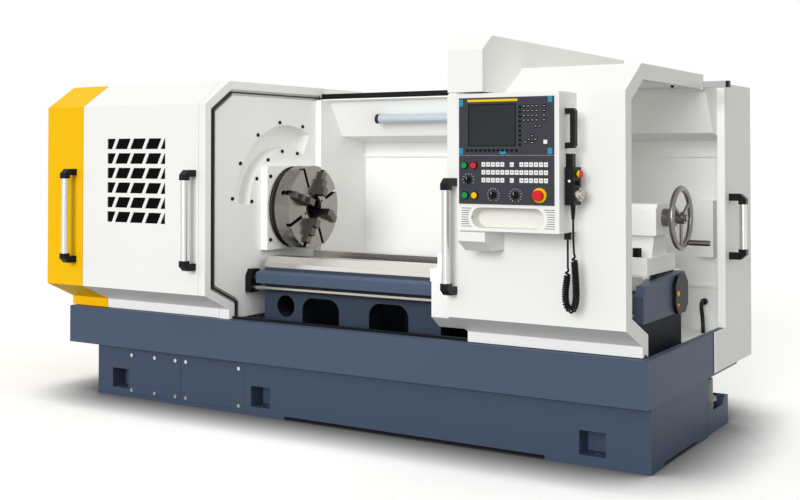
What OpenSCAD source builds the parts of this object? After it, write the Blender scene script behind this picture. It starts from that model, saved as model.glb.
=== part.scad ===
// Flat-bed turning lathe with numerical control and a sliding hood.
// X runs along the spindle from the headstock to the tailstock, Y to the back, Z up.
// The origin is on the floor, below the spindle axis, in the plane of the headstock wall.

/* [Machine] */
// Height of the bed ways above the tray's floor
bed_h = 471; // [455:1:490]
// Gap between the chuck's rim and the height of the ways
swing_gap = 24; // [15:1:40]
// Sheet thickness of the covers
sheet = 4; // [3:0.5:6]
// Seam between covers that open and what they close on
seam = 2; // [1:0.5:4]
// Running gap on slides and guides
slide_gap = 0.5; // [0.3:0.1:0.9]
// Radial clearance of shafts in their bores
run_gap = 0.08; // [0.03:0.01:0.1]

/* [Base] */
// Length of the base
base_l = 2963; // [2900:1:3100]
// Depth of the base, front to back
base_d = 710; // [660:1:760]
// Height of the base
base_h = 253; // [240:1:280]
// Distance of the base's left end from the headstock wall
base_left = 870; // [850:1:900]
// Distance of the base's front from the spindle axis
base_front = 450; // [420:1:470]
// Height of the relief between the feet
foot_h = 18; // [10:1:30]
// Length of the left foot
foot_left_l = 1204; // [1100:1:1300]
// Length of the right foot
foot_right_l = 446; // [400:1:520]
// Depth of the right foot's front and back pads
foot_pad_d = 147; // [120:1:180]
// Width of a levelling pocket
pocket_w = 112; // [90:1:125]
// Height of a levelling pocket
pocket_h = 97; // [80:1:110]
// Depth of a levelling pocket
pocket_d = 90; // [60:1:110]
// Thickness of the floor under a pocket
pocket_floor = 42; // [30:1:60]
// Diameter of the foundation bolt hole in a pocket
anchor_d = 32; // [22:1:40]
// Thickness of the bolted access covers
access_t = 8; // [5:1:14]

/* [Chip tray] */
// Overhang of the tray past the base's left end
tray_over_l = 176; // [150:1:200]
// Overhang of the tray past the base's front
tray_over_f = 33; // [20:1:60]
// Height of the tray
tray_h = 188; // [160:1:220]
// Distance of the tray's back from the spindle axis
tray_back = 710; // [690:1:712]
// Wall of the tray
tray_t = 6; // [4:1:10]
// Width of the tray's turned-in rim
rim_w = 30; // [25:1:40]
// Width of the front rim that carries the hood
front_rim_w = 72; // [60:1:90]

/* [Covers] */
// Distance of the cover skirts from the tray's front edge
skirt_in = 36; // [30:1:46]
// Bulge of the cover fronts past the skirts
cover_bulge = 173; // [160:1:190]
// Height of the skirt above the tray
skirt_h = 46; // [36:1:60]
// Height of the lower fold of the front
fold_lo_h = 81; // [60:1:100]
// Height of the upright front between the folds
front_h = 898; // [880:1:920]
// Height of the upper fold of the front
fold_hi_h = 114; // [100:1:130]
// Length of the headstock covers
cab_l = 1064; // [1020:1:1090]
// Length of the end cover
end_cover_l = 256; // [220:1:280]
// Distance of the headstock cover's back from the spindle axis
cab_back = 690; // [670:1:700]
// Depth of the frame behind the headstock wall
wall_frame = 40; // [30:1:60]
// Width of the grille
grille_w = 384; // [340:1:420]
// Height of the grille
grille_h = 410; // [360:1:450]
// Height of the grille's lower edge above the lower fold
grille_up = 327; // [300:1:350]

/* [Hood] */
// Distance of the parked hood's right edge from the base's right end
hood_in = 34; // [30:1:60]
// Length of the hood
hood_l = 763; // [740:1:780]
// Width of the hood's end frames
hood_frame_w = 62; // [50:1:70]
// Thickness of the hood's end frames
hood_frame_t = 30; // [20:1:40]
// Reach of the hood's top behind the spindle axis
hood_back = 340; // [334:1:360]
// Width of the overhead arm
arm_w = 153; // [130:1:170]
// Reach of the arm past the control box's front
arm_over = 16; // [8:1:30]
// Height of the arm above the hood's top
arm_rise = 110; // [90:1:130]

/* [Control box] */
// Width of the control box
box_w = 430; // [425:1:450]
// Height of the control box
box_h = 529; // [525:1:540]
// Depth of the control box
box_d = 164; // [140:1:175]
// Width of the control panel
panel_w = 401; // [395:1:410]
// Thickness of the panel plates
panel_t = 5; // [3:1:8]
// Height of the screen unit
unit_h = 220; // [216:1:224]
// Height of the operator unit
oper_h = 186; // [182:1:190]
// Diameter of the push buttons
button_d = 24; // [20:1:28]
// Travel of the push buttons
button_travel = 4; // [2:0.5:5]

/* [Rear guard] */
// Distance of the rear wall from the spindle axis
rear_wall = 681; // [670:1:684]
// Distance of the guard's back from the spindle axis
rear_back = 939; // [900:1:980]
// Step from the hood's top down to the guard's top
rear_drop = 30; // [24:1:36]
// Height of the guard's lower edge above the base
rear_lift = 11; // [5:1:40]
// Width of the hood's top rail
rail_w = 28; // [24:1:32]

/* [Spindle and chuck] */
// Diameter of the chuck
chuck_d = 416; // [400:1:424]
// Thickness of the chuck body
chuck_t = 87; // [75:1:100]
// Diameter of the spindle bore
bore_d = 80; // [60:1:90]
// Diameter of the spindle shaft
shaft_d = 120; // [110:1:130]
// Side of the square spindle flange
flange_w = 414; // [400:1:424]
// Width of a jaw
jaw_w = 34; // [30:1:42]
// Radius of the jaws' inner tips
jaw_r = 64; // [60:1:70]

/* [Bed and carriage] */
// Width over the bed
bed_w = 500; // [480:1:510]
// Width of a way
way_w = 100; // [85:1:115]
// Place of the bed's left end
bed_x = 60; // [50:1:80]
// Length of the bed
bed_l = 1920; // [1900:1:1930]
// Diameter of the long feed screw
screw_d = 32; // [28:1:36]
// Diameter of the guard rod
rod_d = 24; // [18:1:28]
// Place of the carriage's left end
saddle_x = 1050; // [1040:1:1080]
// Length of the carriage
saddle_l = 380; // [360:1:400]
// Side of the square tool turret
turret_w = 200; // [180:1:210]

/* [Tailstock] */
// Gap between the parked carriage and the tailstock
tail_gap = 260; // [240:1:280]
// Length of the tailstock's housing
tail_l = 300; // [290:1:310]
// Diameter of the quill
quill_d = 90; // [76:1:96]
// Diameter of the handwheel over its rim
wheel_d = 270; // [240:1:280]

/* [Handles] */
// Length of the long pull handles
pull_l = 470; // [440:1:490]
// Length of the end door's handle
short_pull_l = 300; // [280:1:320]
// Distance of a handle's bar from its cover
pull_off = 62; // [50:1:80]
// Diameter of a handle's bar
pull_d = 34; // [28:1:38]
// Height of the long handles' lower ends above the lower fold
pull_up = 117; // [60:1:140]

/* [Hidden] */
$fn = 64;

// Places that follow from the sizes above
base_x0 = -base_left;
base_x1 = base_l - base_left;
base_y0 = -base_front;
base_y1 = base_d - base_front;
tray_x0 = base_x0 - tray_over_l;
tray_y0 = base_y0 - tray_over_f;
tray_top = base_h + tray_h;
tray_floor = base_h + tray_t;
way_h = tray_floor + bed_h;
spindle_h = way_h + chuck_d / 2 + swing_gap;
cover_set = -tray_y0 - skirt_in;
cover_front = cover_set + cover_bulge;
cover_foot = tray_top + seam;
skirt_z = tray_top + skirt_h;
fold_lo_z = skirt_z + fold_lo_h;
fold_hi_z = fold_lo_z + front_h;
top_z = fold_hi_z + fold_hi_h;
grille_z = fold_lo_z + grille_up;
pull_z = fold_lo_z + pull_up;
pull_in = 33;
seam_x = end_cover_l - cab_l;
hood_x1 = base_x1 - hood_in;
hood_x = hood_x1 - hood_l;
rear_x1 = base_x1 - 29;
rear_top_z = top_z - rear_drop;
rear_low_z = base_h + rear_lift;
door_x1 = base_x1 + sheet + seam;
land_gap = 0.3;
lip_w = 20;
ledge_w = 4;
swing_r = -seam_x - wall_frame - seam;
swing_back = swing_r - sqrt(pow(swing_r, 2) - pow(cover_front - cover_set, 2));
rail_z = rear_top_z - rail_w - 1;
rail_y = hood_back - 36;
rail_over = 80;

// Guide on the tray's front rim and the shoes that run on it
guide_w = 12;
guide_h = 12;
shoe_l = 60;
guide_y = tray_y0 + front_rim_w - guide_w - 4;

// Front of every cover, from the skirt over the two folds to the top, and the headstock wall's line
function cover_line(z0) = [[-cover_set, z0], [-cover_set, skirt_z], [-cover_front, fold_lo_z],
    [-cover_front, fold_hi_z], [-cover_set, top_z]];
wall_line = concat(cover_line(tray_top), [[rail_y - ledge_w - seam, top_z]]);

// Pockets and access covers along the base, from its left end
pocket_at = [159, 1064, base_l - 240];
access_seam = 565;
access_edge = [222, 967];
access_rows = [37, base_h - 40];
access_bolts = [239, 396, 534, 603, 936];
bolt_d = 18;
bolt_head = 6;

// Grille pattern
grille_rows = 6;
grille_cols = 4;
grille_bar = 20;
grille_lean = 26;
grille_x = seam_x + 172;

// Seal round the hood's landing on the headstock wall
seal_in = 39;
seal_out = 68;
seal_w = 6;
seal_deep = 12;
seal_proud = 6;

// Crescent recess above the chuck
crescent_r = [300, 415];
crescent_a = [62, 176];
crescent_deep = 70;
crescent_end = 1;
crescent_bolt_r = [284, 431];
crescent_bolt_a = [72, 98, 123, 149, 173];

// Spindle group along X
flange_t = 40;
plate_x = flange_t + 1;
plate_t = 44;
plate_rim_t = 9;
plate_rim_d = chuck_d - 4;
plate_d = chuck_d - 32;
nose_d = shaft_d + 110;
nose_l = 19;
chuck_x = plate_x + plate_t;
face_x = chuck_x + chuck_t;
chuck_bore = 100;
jaw_turn = 68;
jaw_l = 122;
jaw_h = 50;
tenon_w = 24;
tenon_t = 30;
head_l = 470;
head_w = 380;
throat_in = 12;
bearing_w = 50;
bearing_d = 190;
pulley_x = seam_x + 18;
pulley_w = 80;
pulley_d = 280;
drive_d = 140;
motor_y = 380;
motor_h = spindle_h - 402;
motor_d = 300;
motor_l = 380;
motor_shaft_d = 48;
belt_t = 8;
belt_gap = 0.4;

// Bed section
bed_wall = 80;
slab_t = 21;
prism_h = 33;
rib_pitch = 382;
rib_t = 30;
rib_top = way_h - 110;
window_x = 288;
window_w = 214;
window_top = way_h - 188;
window_low = tray_floor + 71;
window_r = (window_top - window_low) / 2 - 46;

// Feed screw channel on the bed's front
chan_d = 70;
chan_z0 = way_h - 124;
chan_z1 = way_h - 68;
screw_y = -bed_w / 2 - 33;
screw_z = way_h - 100;
rod_z = way_h - 147;
rod_y = -bed_w / 2 - 50;
bear_t = 36;
drive_x = bed_x + bed_l;
drive_t = 40;
lid_w = 160;
lid_cut = 36;
lid_t = 16;
lid_y = 97;
lid_z = way_h - 95;
plug_y = lid_y - 59;
plugs = [[6, 22], [-41, 12]];
plug_t = 6;

// Coolant tank
tank_l = 525;
tank_x = base_x1 - 8 - tank_l;
tank_d = 300;
tank_h = 130;
pump_y = base_y1 + 180;

// Carriage
wing_y = -bed_w / 2 - 90;
wing_z0 = way_h - 58;
wing_z1 = way_h - 3;
apron_fold = way_h - 213;
apron_low = way_h - 264;
nut_at = 120;
nut_l = 60;
nut_z = rod_z + rod_d / 2 + 2;
saddle_t = 60;
saddle_z = way_h + slide_gap;
slide_x = saddle_x + 140;
slide_w = 200;
slide_t = 60;
slide_z = saddle_z + saddle_t + slide_gap;
slide_y = -bed_w / 2 - 170;
slide_l = 360;
turret_x = slide_x + slide_w / 2;
turret_y = -bed_w / 2 - 80;
turret_z = slide_z + slide_t;
turret_base_t = 18;
turret_h = 2 * (spindle_h - turret_z - turret_base_t) * 0.62;

// Tailstock
tail_x = saddle_x + saddle_l + tail_gap;
tail_base_t = 70;
tail_base_w = bed_w - 2 * way_w + 50;
tail_w = 190;
tail_low = spindle_h - 72;
tail_high = spindle_h + 58;
boss_d = 76;
boss_l = 50;
quill_l = tail_l - 40;
wheel_x = tail_x + tail_l + boss_l + 25;
hub_d = 50;
hub_l = 36;
spoke_d = 14;
wheel_shaft_d = 28;
rim_d = 25;
wheel_r = (wheel_d - rim_d) / 2;
grip_a = -60;
grip_l = 90;
grip_d = 24;
pin_d = 10;

// Control panel, on the box's front
box_x = hood_x + 138;
box_z = fold_hi_z - 4 - box_h;
box_y = -cover_front - box_d;
arm_x = hood_x + 104;
arm_front = -box_y + arm_over;
arm_top_z = top_z + arm_rise;
louvre_in = 18;
louvre_t = 2.4;
bracket_w = 118;
bracket_h = 82;
recess_x = box_x + 62;
recess_z = box_z + 52;
recess_d = 78;
recess_l = 306;
recess_t = 60;
bow_at = [60, 317];
bow_w = 24;
bow_t = 22;
bow_out = 42;
panel_x = box_x + 10;
panel_z1 = box_z + box_h - 17;
unit_z = panel_z1 - unit_h;
oper_z = unit_z - seam - oper_h;
panel_y = box_y - panel_t;
stem_d = 15;
stem_l = 30;
bezel_t = 6;
cap_t = 5;
knob_d = 26;
bow_l = 150;
screen_w = 205;
screen_h = 162;
screen_at = [40, 33];
key_gap = [5, 7];
knob_t = 18;
estop_d = 40;
key_w = 16;
key_h = 17;
key_t = 2;
key_pitch = 20.1;
key_row = 30;

// Places of the operator unit's controls, from its lower left corner
on_at = [26, 148];
off_at = [67, 148];
mode_at = [42, 93];
start_at = [29, 33];
hold_at = [70, 33];
feed_at = [149, 36];
speed_at = [243, 36];
estop_at = [344, 37];
keys_at = [108, 92];
buttons = [on_at, off_at, start_at, hold_at];
controls = concat(buttons, [estop_at, mode_at, feed_at, speed_at]);

// Pendant on the box's right side
pend_t = 35;
pend_w = 70;
pend_h = 142;
pend_x = box_x + box_w + 4;
pend_y = box_y + 42;
pend_z = box_z + 105;
pend_dial_z = 40;
dial_d = 52;
dial_t = 14;
pend_sel = 82;
pend_stop_z = 116;
pend_stem = 22;
relief_l = 53;
cord_d = 8;
coil_d = 26;
gland_d = 28;
gland_l = 26;

// Cord of the pendant, from the lower right front corner of the control box: from the gland under the
// box to the curl, the curl's middle line, and from the curl to the pendant
cord_from = [box_x + box_w, box_y, box_z];
cord_out = [[-8, 94, -26], [-8, 94, -53], [-6.5, 91, -88], [-5, 87.5, -127.7]];
cord_coil = [[-5, 87.5, -128], [-4.5, 86.4, -141], [-8, 86, -173], [-14, 85, -223], [-12, 85, -261],
    [-4, 85, -280], [8, 85, -288], [21, 84, -279], [29, 83, -253], [31, 81, -218], [30, 79, -173],
    [27, 78, -123], [24, 78, -73]];
cord_in = [[24, 78, -72.7], [22.5, 77.5, -33], [21.5, 77, 12], [21.5, 77, 52]];

// Sloping panel under the guard's top, the lamp on it and the beads of the wall
slope_lo = [449, rear_top_z - 225];
slope_hi = [rail_y + 38, rail_z - 16];
function slope_y(z) = slope_lo.x + (slope_hi.x - slope_lo.x) * (z - slope_lo.y) / (slope_hi.y -
    slope_lo.y);
slope_t = 33;
bead_z = [tray_top + 162, rear_top_z - 335];
bead = 14;
end_step = 33;
end_y = rail_y - 50;
door_y = rear_wall - 168;
door_step_y = rear_wall - 328;
door_pull_at = [72, 63];
lamp_x = 323;
lamp_l = 722;
lamp_d = 50;
lamp_cap = 21;
lamp_z = rear_top_z - 137;

// Switch box on the rear wall
switch_x = rear_x1 - 131;
switch_z = tray_top + 308;
switch_w = 78;
switch_h = 263;
switch_d = 58;

// Splash sheet that closes the tray behind the bed
chute_z = tray_top - 41;
chute_back = tray_back - rim_w - slide_gap;

// Grey conduit from its gland on the rear wall down to the tray's floor
hose_x = rear_x1 - 111;
hose_z = tray_top + 94;
hose_d = 18;
hose_from = [hose_x, rear_wall - gland_l, hose_z];
hose_end = [hose_x + 27, rear_wall - gland_l - 94, chute_z + sheet + land_gap + slide_gap];
hose_drop = [[0, 6, 0], [0, -24, 0], [10, -62, -20], [22, -84, -62], [27, -94, -104]];

// Box between two corners
module span(a, b) {
    translate(a) cube(b - a);
}

// A section drawn in Y and Z, drawn out along X from x over a length
module along_x(x, l) {
    translate([x, 0, 0]) rotate([90, 0, 90]) linear_extrude(l) children();
}

// A round bar along X, Y or Z
module bar_x(p, d, l) {
    translate(p) rotate([0, 90, 0]) cylinder(d = d, h = l);
}
module bar_y(p, d, l) {
    translate(p) rotate([-90, 0, 0]) cylinder(d = d, h = l);
}

// Moves an outline of flat sheet inwards: each corner goes along its mitre
function unit(v) = v / norm(v);
function right_of(a, b) = let (d = unit(b - a)) [d.y, -d.x];
function mitre(m, n) = (m + n) / (1 + m * n);
function inset(p, t) = [for (i = [0:len(p) - 1]) let (
    a = right_of(p[max(i - 1, 0)], p[max(i, 1)]),
    b = right_of(p[min(i, len(p) - 2)], p[min(i + 1, len(p) - 1)])) p[i] + t * mitre(a, b)];
function reverse(p) = [for (i = [len(p) - 1:-1:0]) p[i]];
module band(p, t0, t1) {
    polygon(concat(inset(p, t0), reverse(inset(p, t1))));
}

// A smooth line through the points of a route, and a tube along it
function blend(p, i, t) = let (
    a = p[max(i - 1, 0)], b = p[i], c = p[min(i + 1, len(p) - 1)], d = p[min(i + 2, len(p) - 1)])
    0.5 * (2 * b + (c - a) * t + (2 * a - 5 * b + 4 * c - d) * t * t + (3 * b - a - 3 * c + d) * t * t
        * t);
function route(p, n) = concat([for (i = [0:len(p) - 2]) for (k = [0:n - 1]) blend(p, i, k / n)],
    [p[len(p) - 1]]);
function ring(c, d, r, sides, side) = let (u = unit(cross(d, side)), v = cross(unit(d), u))
    [for (k = [0:sides - 1]) c + r * (cos(360 * k / sides) * u + sin(360 * k / sides) * v)];
module tube(p, d, sides = 10, side = [0, 1, 0]) {
    n = len(p);
    pts = [for (i = [0:n - 1]) each ring(p[i], p[min(i + 1, n - 1)] - p[max(i - 1, 0)], d / 2, sides,
        side)];
    sides_faces = [for (i = [0:n - 2]) for (k = [0:sides - 1]) let (j = (k + 1) % sides)
        [i * sides + k, (i + 1) * sides + k, (i + 1) * sides + j, i * sides + j]];
    first = [for (k = [0:sides - 1]) k];
    last = [for (k = [sides - 1:-1:0]) (n - 1) * sides + k];
    polyhedron(pts, concat([first], sides_faces, [last]));
}

// Pull handle that stands off in -Y from the plane y: two elbows and a round bar
module pull(x, y, z, l) {
    foot = 32;
    elbow = 48;
    r = pull_d / 2;
    side = [[0, 0], [pull_off - r / 2, 0], [pull_off + r, foot * 0.7], [pull_off + r, elbow],
        [pull_off - r, elbow], [pull_off - r, foot], [0, foot]];
    translate([x, y, z]) {
        for (m = [0, 1]) translate([0, 0, m * l]) mirror([0, 0, m])
            rotate([90, 0, -90]) translate([0, 0, -r - 1]) linear_extrude(pull_d + 2) polygon(side);
        translate([0, -pull_off, elbow - 1]) cylinder(d = pull_d, h = l - 2 * elbow + 2);
    }
}

// Base and tray
module base() {
    color("slategray") difference() {
        span([base_x0, base_y0, 0], [base_x1, base_y1, base_h]);
        span([base_x0 + foot_left_l, base_y0 - 1, -1], [base_x1 - foot_right_l, base_y1 + 1, foot_h]);
        span([base_x1 - foot_right_l - 1, base_y0 + foot_pad_d, -1],
            [base_x1 + 1, base_y1 - foot_pad_d, foot_h]);
        for (x = pocket_at) for (m = [0, 1]) let (y = m == 0 ? base_y0 : base_y1 - pocket_d) {
            span([base_x0 + x - pocket_w / 2, y - 1 + m, pocket_floor],
                [base_x0 + x + pocket_w / 2, y + pocket_d + m, pocket_floor + pocket_h]);
            translate([base_x0 + x, y + pocket_d / 2, -1]) cylinder(d = anchor_d, h = pocket_floor + 2);
        }
        span([base_x0 + access_edge[0], base_y0 - 1, foot_h + 2],
            [base_x0 + access_edge[1], base_y0 + access_t, base_h - 16]);
    }
}

module access_covers() {
    color("slategray") for (m = [0, 1]) difference() {
        span([base_x0 + (m == 0 ? access_edge[0] : access_seam) + 1, base_y0, foot_h + 3],
            [base_x0 + (m == 0 ? access_seam : access_edge[1]) - 1, base_y0 + access_t, base_h - 17]);
        for (x = access_bolts) for (z = access_rows)
            bar_y([base_x0 + x, base_y0 - 1, z], bolt_d * 0.5, access_t + 2);
    }
}

module fasteners() {
    color("silver") {
        for (x = access_bolts) for (z = access_rows) {
            bar_y([base_x0 + x, base_y0 - bolt_head, z], bolt_d, bolt_head);
            bar_y([base_x0 + x, base_y0 - 1, z], bolt_d * 0.5 - 0.4, access_t + 1);
        }
        for (r = crescent_bolt_r) for (a = crescent_bolt_a)
            bar_x([0, r * cos(a), spindle_h + r * sin(a)], bolt_d, bolt_head);
        for (y = [-1, 1]) for (z = [-1, 1])
            bar_x([flange_t, y * (flange_w / 2 - 22), spindle_h + z * (flange_w / 2 - 50)], bolt_d,
                bolt_head);
    }
}

module chip_tray() {
    color("slategray") {
        difference() {
            span([tray_x0, tray_y0, base_h], [base_x1, tray_back, tray_top]);
            span([tray_x0 + tray_t, tray_y0 + tray_t, tray_floor],
                [base_x1 - tray_t, tray_back - tray_t, tray_top - tray_t]);
            span([tray_x0 + rim_w, tray_y0 + front_rim_w, tray_floor],
                [base_x1 - rim_w, tray_back - rim_w, tray_top + 1]);
        }
    }
}

// Lower guide on the tray's front rim and upper rail on the rear guard
module door_rails() {
    color("dimgray") {
        span([seam, guide_y, tray_top], [base_x1 - rim_w, guide_y + guide_w, tray_top + guide_h]);
        span([0, rail_y, rail_z], [door_x1 + rail_over, rail_y + rail_w, rail_z + rail_w]);
    }
}

// Bed: two walls with cross ribs, windows in the front and ground ways on top
module way(m) {
    y = bed_w / 2;
    z = way_h - prism_h;
    mirror([0, m, 0]) along_x(bed_x, bed_l)
        polygon([[-y, z - slab_t], [-y, z], [-y + 10, z], [-y + 27, way_h], [-y + way_w, way_h],
            [-y + way_w, z - slab_t]]);
}

module window(x) {
    r = window_r;
    bar_y([x + r, -bed_w / 2 - 1, window_top - r], 2 * r, bed_wall + 2);
    bar_y([x + window_w - r, -bed_w / 2 - 1, window_top - r], 2 * r, bed_wall + 2);
    span([x + r, -bed_w / 2 - 1, window_low], [x + window_w - r, bed_wall + 1 - bed_w / 2, window_top]);
    span([x, -bed_w / 2 - 1, window_low], [x + window_w, bed_wall + 1 - bed_w / 2, window_top - r]);
}

module bed() {
    slab_z = way_h - prism_h - slab_t;
    wall_in = bed_w / 2 - bed_wall;
    x0 = bed_x + rib_t;
    x1 = bed_x + bed_l - rib_t;
    color("darkslategray") {
        difference() {
            span([bed_x, -bed_w / 2, tray_floor], [bed_x + bed_l, bed_w / 2, slab_z]);
            for (i = [-1:4]) let (x = window_x - (rib_pitch - window_w) / 2 + i * rib_pitch)
                span([max(x + rib_t / 2, x0), -wall_in, tray_floor - 1],
                    [min(x + rib_pitch - rib_t / 2, x1), wall_in, slab_z + 1]);
            span([x0, -wall_in, rib_top], [x1, wall_in, slab_z + 1]);
            for (i = [0:3]) window(window_x + i * rib_pitch);
            bar_y([window_x - 99, -bed_w / 2 - 1, window_top - 47], 104, bed_wall + 2);
        }
        for (m = [0, 1]) way(m);
    }
}

// Long feed screw in its channel, with the guard rod below
module screw_cover() {
    y = -bed_w / 2;
    color("darkslategray") along_x(bed_x, bed_l)
        polygon([[y, chan_z1], [y - chan_d + 10, chan_z1], [y - chan_d, chan_z1 - 10],
            [y - chan_d, chan_z0],
            [y - chan_d + sheet, chan_z0], [y - chan_d + sheet, chan_z1 - 12],
                [y - chan_d + 12, chan_z1 - sheet],
            [y, chan_z1 - sheet]]);
}

module guard_rod() {
    color("silver") bar_x([bear_t, rod_y, rod_z], rod_d, drive_x - bear_t);
}

module screw_bearing() {
    y = -bed_w / 2;
    color("black") difference() {
        along_x(0, bear_t) polygon([[y - chan_d - 8, rod_z - 24], [y - chan_d - 8, screw_z + 8],
            [y - chan_d + 12, chan_z1 + 8], [y - 12, chan_z1 + 8], [y - 2, screw_z + 14],
                [y - 2, rod_z + 6],
            [y - 22, rod_z - 24]]);
        bar_x([-1, screw_y, screw_z], screw_d + 2 * run_gap, bear_t + 2);
    }
}

module feed_screw() {
    color("silver") bar_x([seam, screw_y, screw_z], screw_d, drive_x + drive_t / 2 - seam);
}

module axis_drive() {
    y0 = -bed_w / 2 - chan_d;
    y1 = lid_y + lid_w / 2;
    z1 = lid_z + lid_w / 2;
    color("darkslategray") difference() {
        along_x(drive_x, drive_t) polygon([[y0 - 8, rod_z - 28], [y0 - 8, chan_z1],
            [y0 + 22, chan_z1 + 40],
            [y1, z1 + 10], [y1 + 15, z1 - 10], [y1 + 15, rod_z - 28]]);
        bar_x([drive_x - 1, screw_y, screw_z], screw_d + 2 * run_gap, drive_t / 2 + 2);
    }
}

module drive_lid() {
    h = lid_w / 2;
    c = h - lid_cut;
    x = drive_x + drive_t;
    color("black") {
        along_x(x, lid_t) translate([lid_y, lid_z])
            polygon([[-h, -c], [-h, c], [-c, h], [c, h], [h, c], [h, -c], [c, -h], [-c, -h]]);
        for (p = plugs) bar_x([x + lid_t - 1, plug_y, lid_z + p[0]], p[1], plug_t + 1);
    }
}

// Headstock, spindle and chuck
module headstock() {
    color("whitesmoke") difference() {
        union() {
            span([-head_l, -head_w / 2, tray_floor],
                [-wall_frame - seam, head_w / 2, spindle_h + head_w / 2]);
            span([-wall_frame - seam - 1, -flange_w / 2 + throat_in, spindle_h - flange_w / 2 + throat_in],
                [1, flange_w / 2 - throat_in, spindle_h + flange_w / 2 - throat_in]);
            span([0, -flange_w / 2, spindle_h - flange_w / 2],
                [flange_t, flange_w / 2, spindle_h + flange_w / 2]);
        }
        bar_x([-head_l - 1, 0, spindle_h], shaft_d + 24, head_l + flange_t + 2);
        bar_x([flange_t - bearing_w, 0, spindle_h], bearing_d, bearing_w + 1);
        bar_x([-head_l - 1, 0, spindle_h], bearing_d, bearing_w + 1);
    }
}

module spindle_bearings() {
    color("silver") for (x = [flange_t - bearing_w, -head_l]) difference() {
        bar_x([x, 0, spindle_h], bearing_d, bearing_w);
        bar_x([x - 1, 0, spindle_h], shaft_d + 2 * run_gap, bearing_w + 2);
    }
}

module spindle() {
    end_x = plate_x + nose_l;
    color("silver") difference() {
        union() {
            bar_x([pulley_x, 0, spindle_h], shaft_d, end_x - pulley_x);
            bar_x([pulley_x, 0, spindle_h], pulley_d, pulley_w);
            bar_x([plate_x, 0, spindle_h], nose_d, nose_l);
        }
        bar_x([pulley_x - 1, 0, spindle_h], bore_d, end_x - pulley_x + 2);
    }
}

module motor_pulley() {
    color("dimgray") {
        bar_x([pulley_x, motor_y, motor_h], drive_d, pulley_w);
        bar_x([pulley_x, motor_y, motor_h], motor_shaft_d, pulley_w + 60);
    }
}

module main_motor() {
    x = pulley_x + pulley_w + 50;
    color("dimgray") difference() {
        union() {
            bar_x([x + 10, motor_y, motor_h], motor_d, motor_l);
            bar_x([x, motor_y, motor_h], motor_d * 0.62, 20);
            span([x + 40, motor_y - 120, tray_floor], [x + motor_l - 30, motor_y + 120, motor_h - 60]);
        }
        bar_x([x - 1, motor_y, motor_h], motor_shaft_d + 2 * run_gap, 40);
    }
}

// Belt round both pulleys
module belt_loop(extra) {
    hull() {
        translate([0, spindle_h]) circle(d = pulley_d + 2 * extra, $fn = 72);
        translate([motor_y, motor_h]) circle(d = drive_d + 2 * extra, $fn = 72);
    }
}
module drive_belt() {
    color("black") along_x(pulley_x + 6, pulley_w - 12) difference() {
        belt_loop(belt_gap + belt_t);
        belt_loop(belt_gap);
    }
}

module chuck_plate() {
    color("dimgray") difference() {
        union() {
            bar_x([plate_x, 0, spindle_h], plate_rim_d, plate_rim_t);
            bar_x([plate_x, 0, spindle_h], plate_d, plate_t);
        }
        bar_x([plate_x - 1, 0, spindle_h], nose_d + 2 * run_gap, nose_l + 1);
        bar_x([plate_x, 0, spindle_h], bore_d, plate_t + 1);
    }
}

// Turns children from the +Y direction to jaw k's direction round the spindle
module at_jaw(k) {
    translate([0, 0, spindle_h]) rotate([jaw_turn + 90 * k, 0, 0]) children();
}

module chuck_body() {
    slot_gap = slide_gap;
    color("silver") difference() {
        bar_x([chuck_x, 0, spindle_h], chuck_d, chuck_t);
        bar_x([chuck_x - 1, 0, spindle_h], chuck_bore, chuck_t + 2);
        for (k = [0:3]) at_jaw(k) {
            span([face_x - tenon_t - slot_gap, chuck_bore / 2 - 20, -tenon_w / 2 - slot_gap],
                [face_x + 1, chuck_d / 2 + 1, tenon_w / 2 + slot_gap]);
            rotate([45, 0, 0]) span([face_x - 26, chuck_d * 0.26, -9], [face_x + 1, chuck_d / 2 + 1, 9]);
            rotate([45, 0, 0]) bar_x([face_x - 40, chuck_d * 0.18, 0], 14, 41);
            translate([chuck_x + chuck_t / 2, 0, 0]) bar_y([0, chuck_d / 2 - 30, 0], 26, 40);
        }
    }
}

// A stepped jaw, drawn along +Y with its tip at the jaw radius
module jaw(k) {
    x0 = face_x + slide_gap;
    x1 = face_x + jaw_h * 0.36;
    x2 = face_x + jaw_h * 0.68;
    x3 = face_x + jaw_h;
    y1 = jaw_r + jaw_l * 0.34;
    y2 = jaw_r + jaw_l * 0.68;
    y3 = jaw_r + jaw_l;
    color("dimgray") at_jaw(k) {
        span([face_x - tenon_t, jaw_r + 6, -tenon_w / 2], [face_x + 2, y3, tenon_w / 2]);
        translate([0, 0, -jaw_w / 2]) linear_extrude(jaw_w) polygon([[x0, jaw_r], [x3, jaw_r], [x3, y1],
            [x2, y1], [x2, y2], [x1, y2], [x1, y3], [x0, y3]]);
    }
}
module jaw_1() {
    jaw(0);
}
module jaw_2() {
    jaw(1);
}
module jaw_3() {
    jaw(2);
}
module jaw_4() {
    jaw(3);
}

// Space that the headstock door's edge sweeps round its hinge
module swing(r) {
    translate([seam_x, -cover_front, tray_top - 1]) cylinder(r = r, h = top_z, $fn = 180);
}

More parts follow.
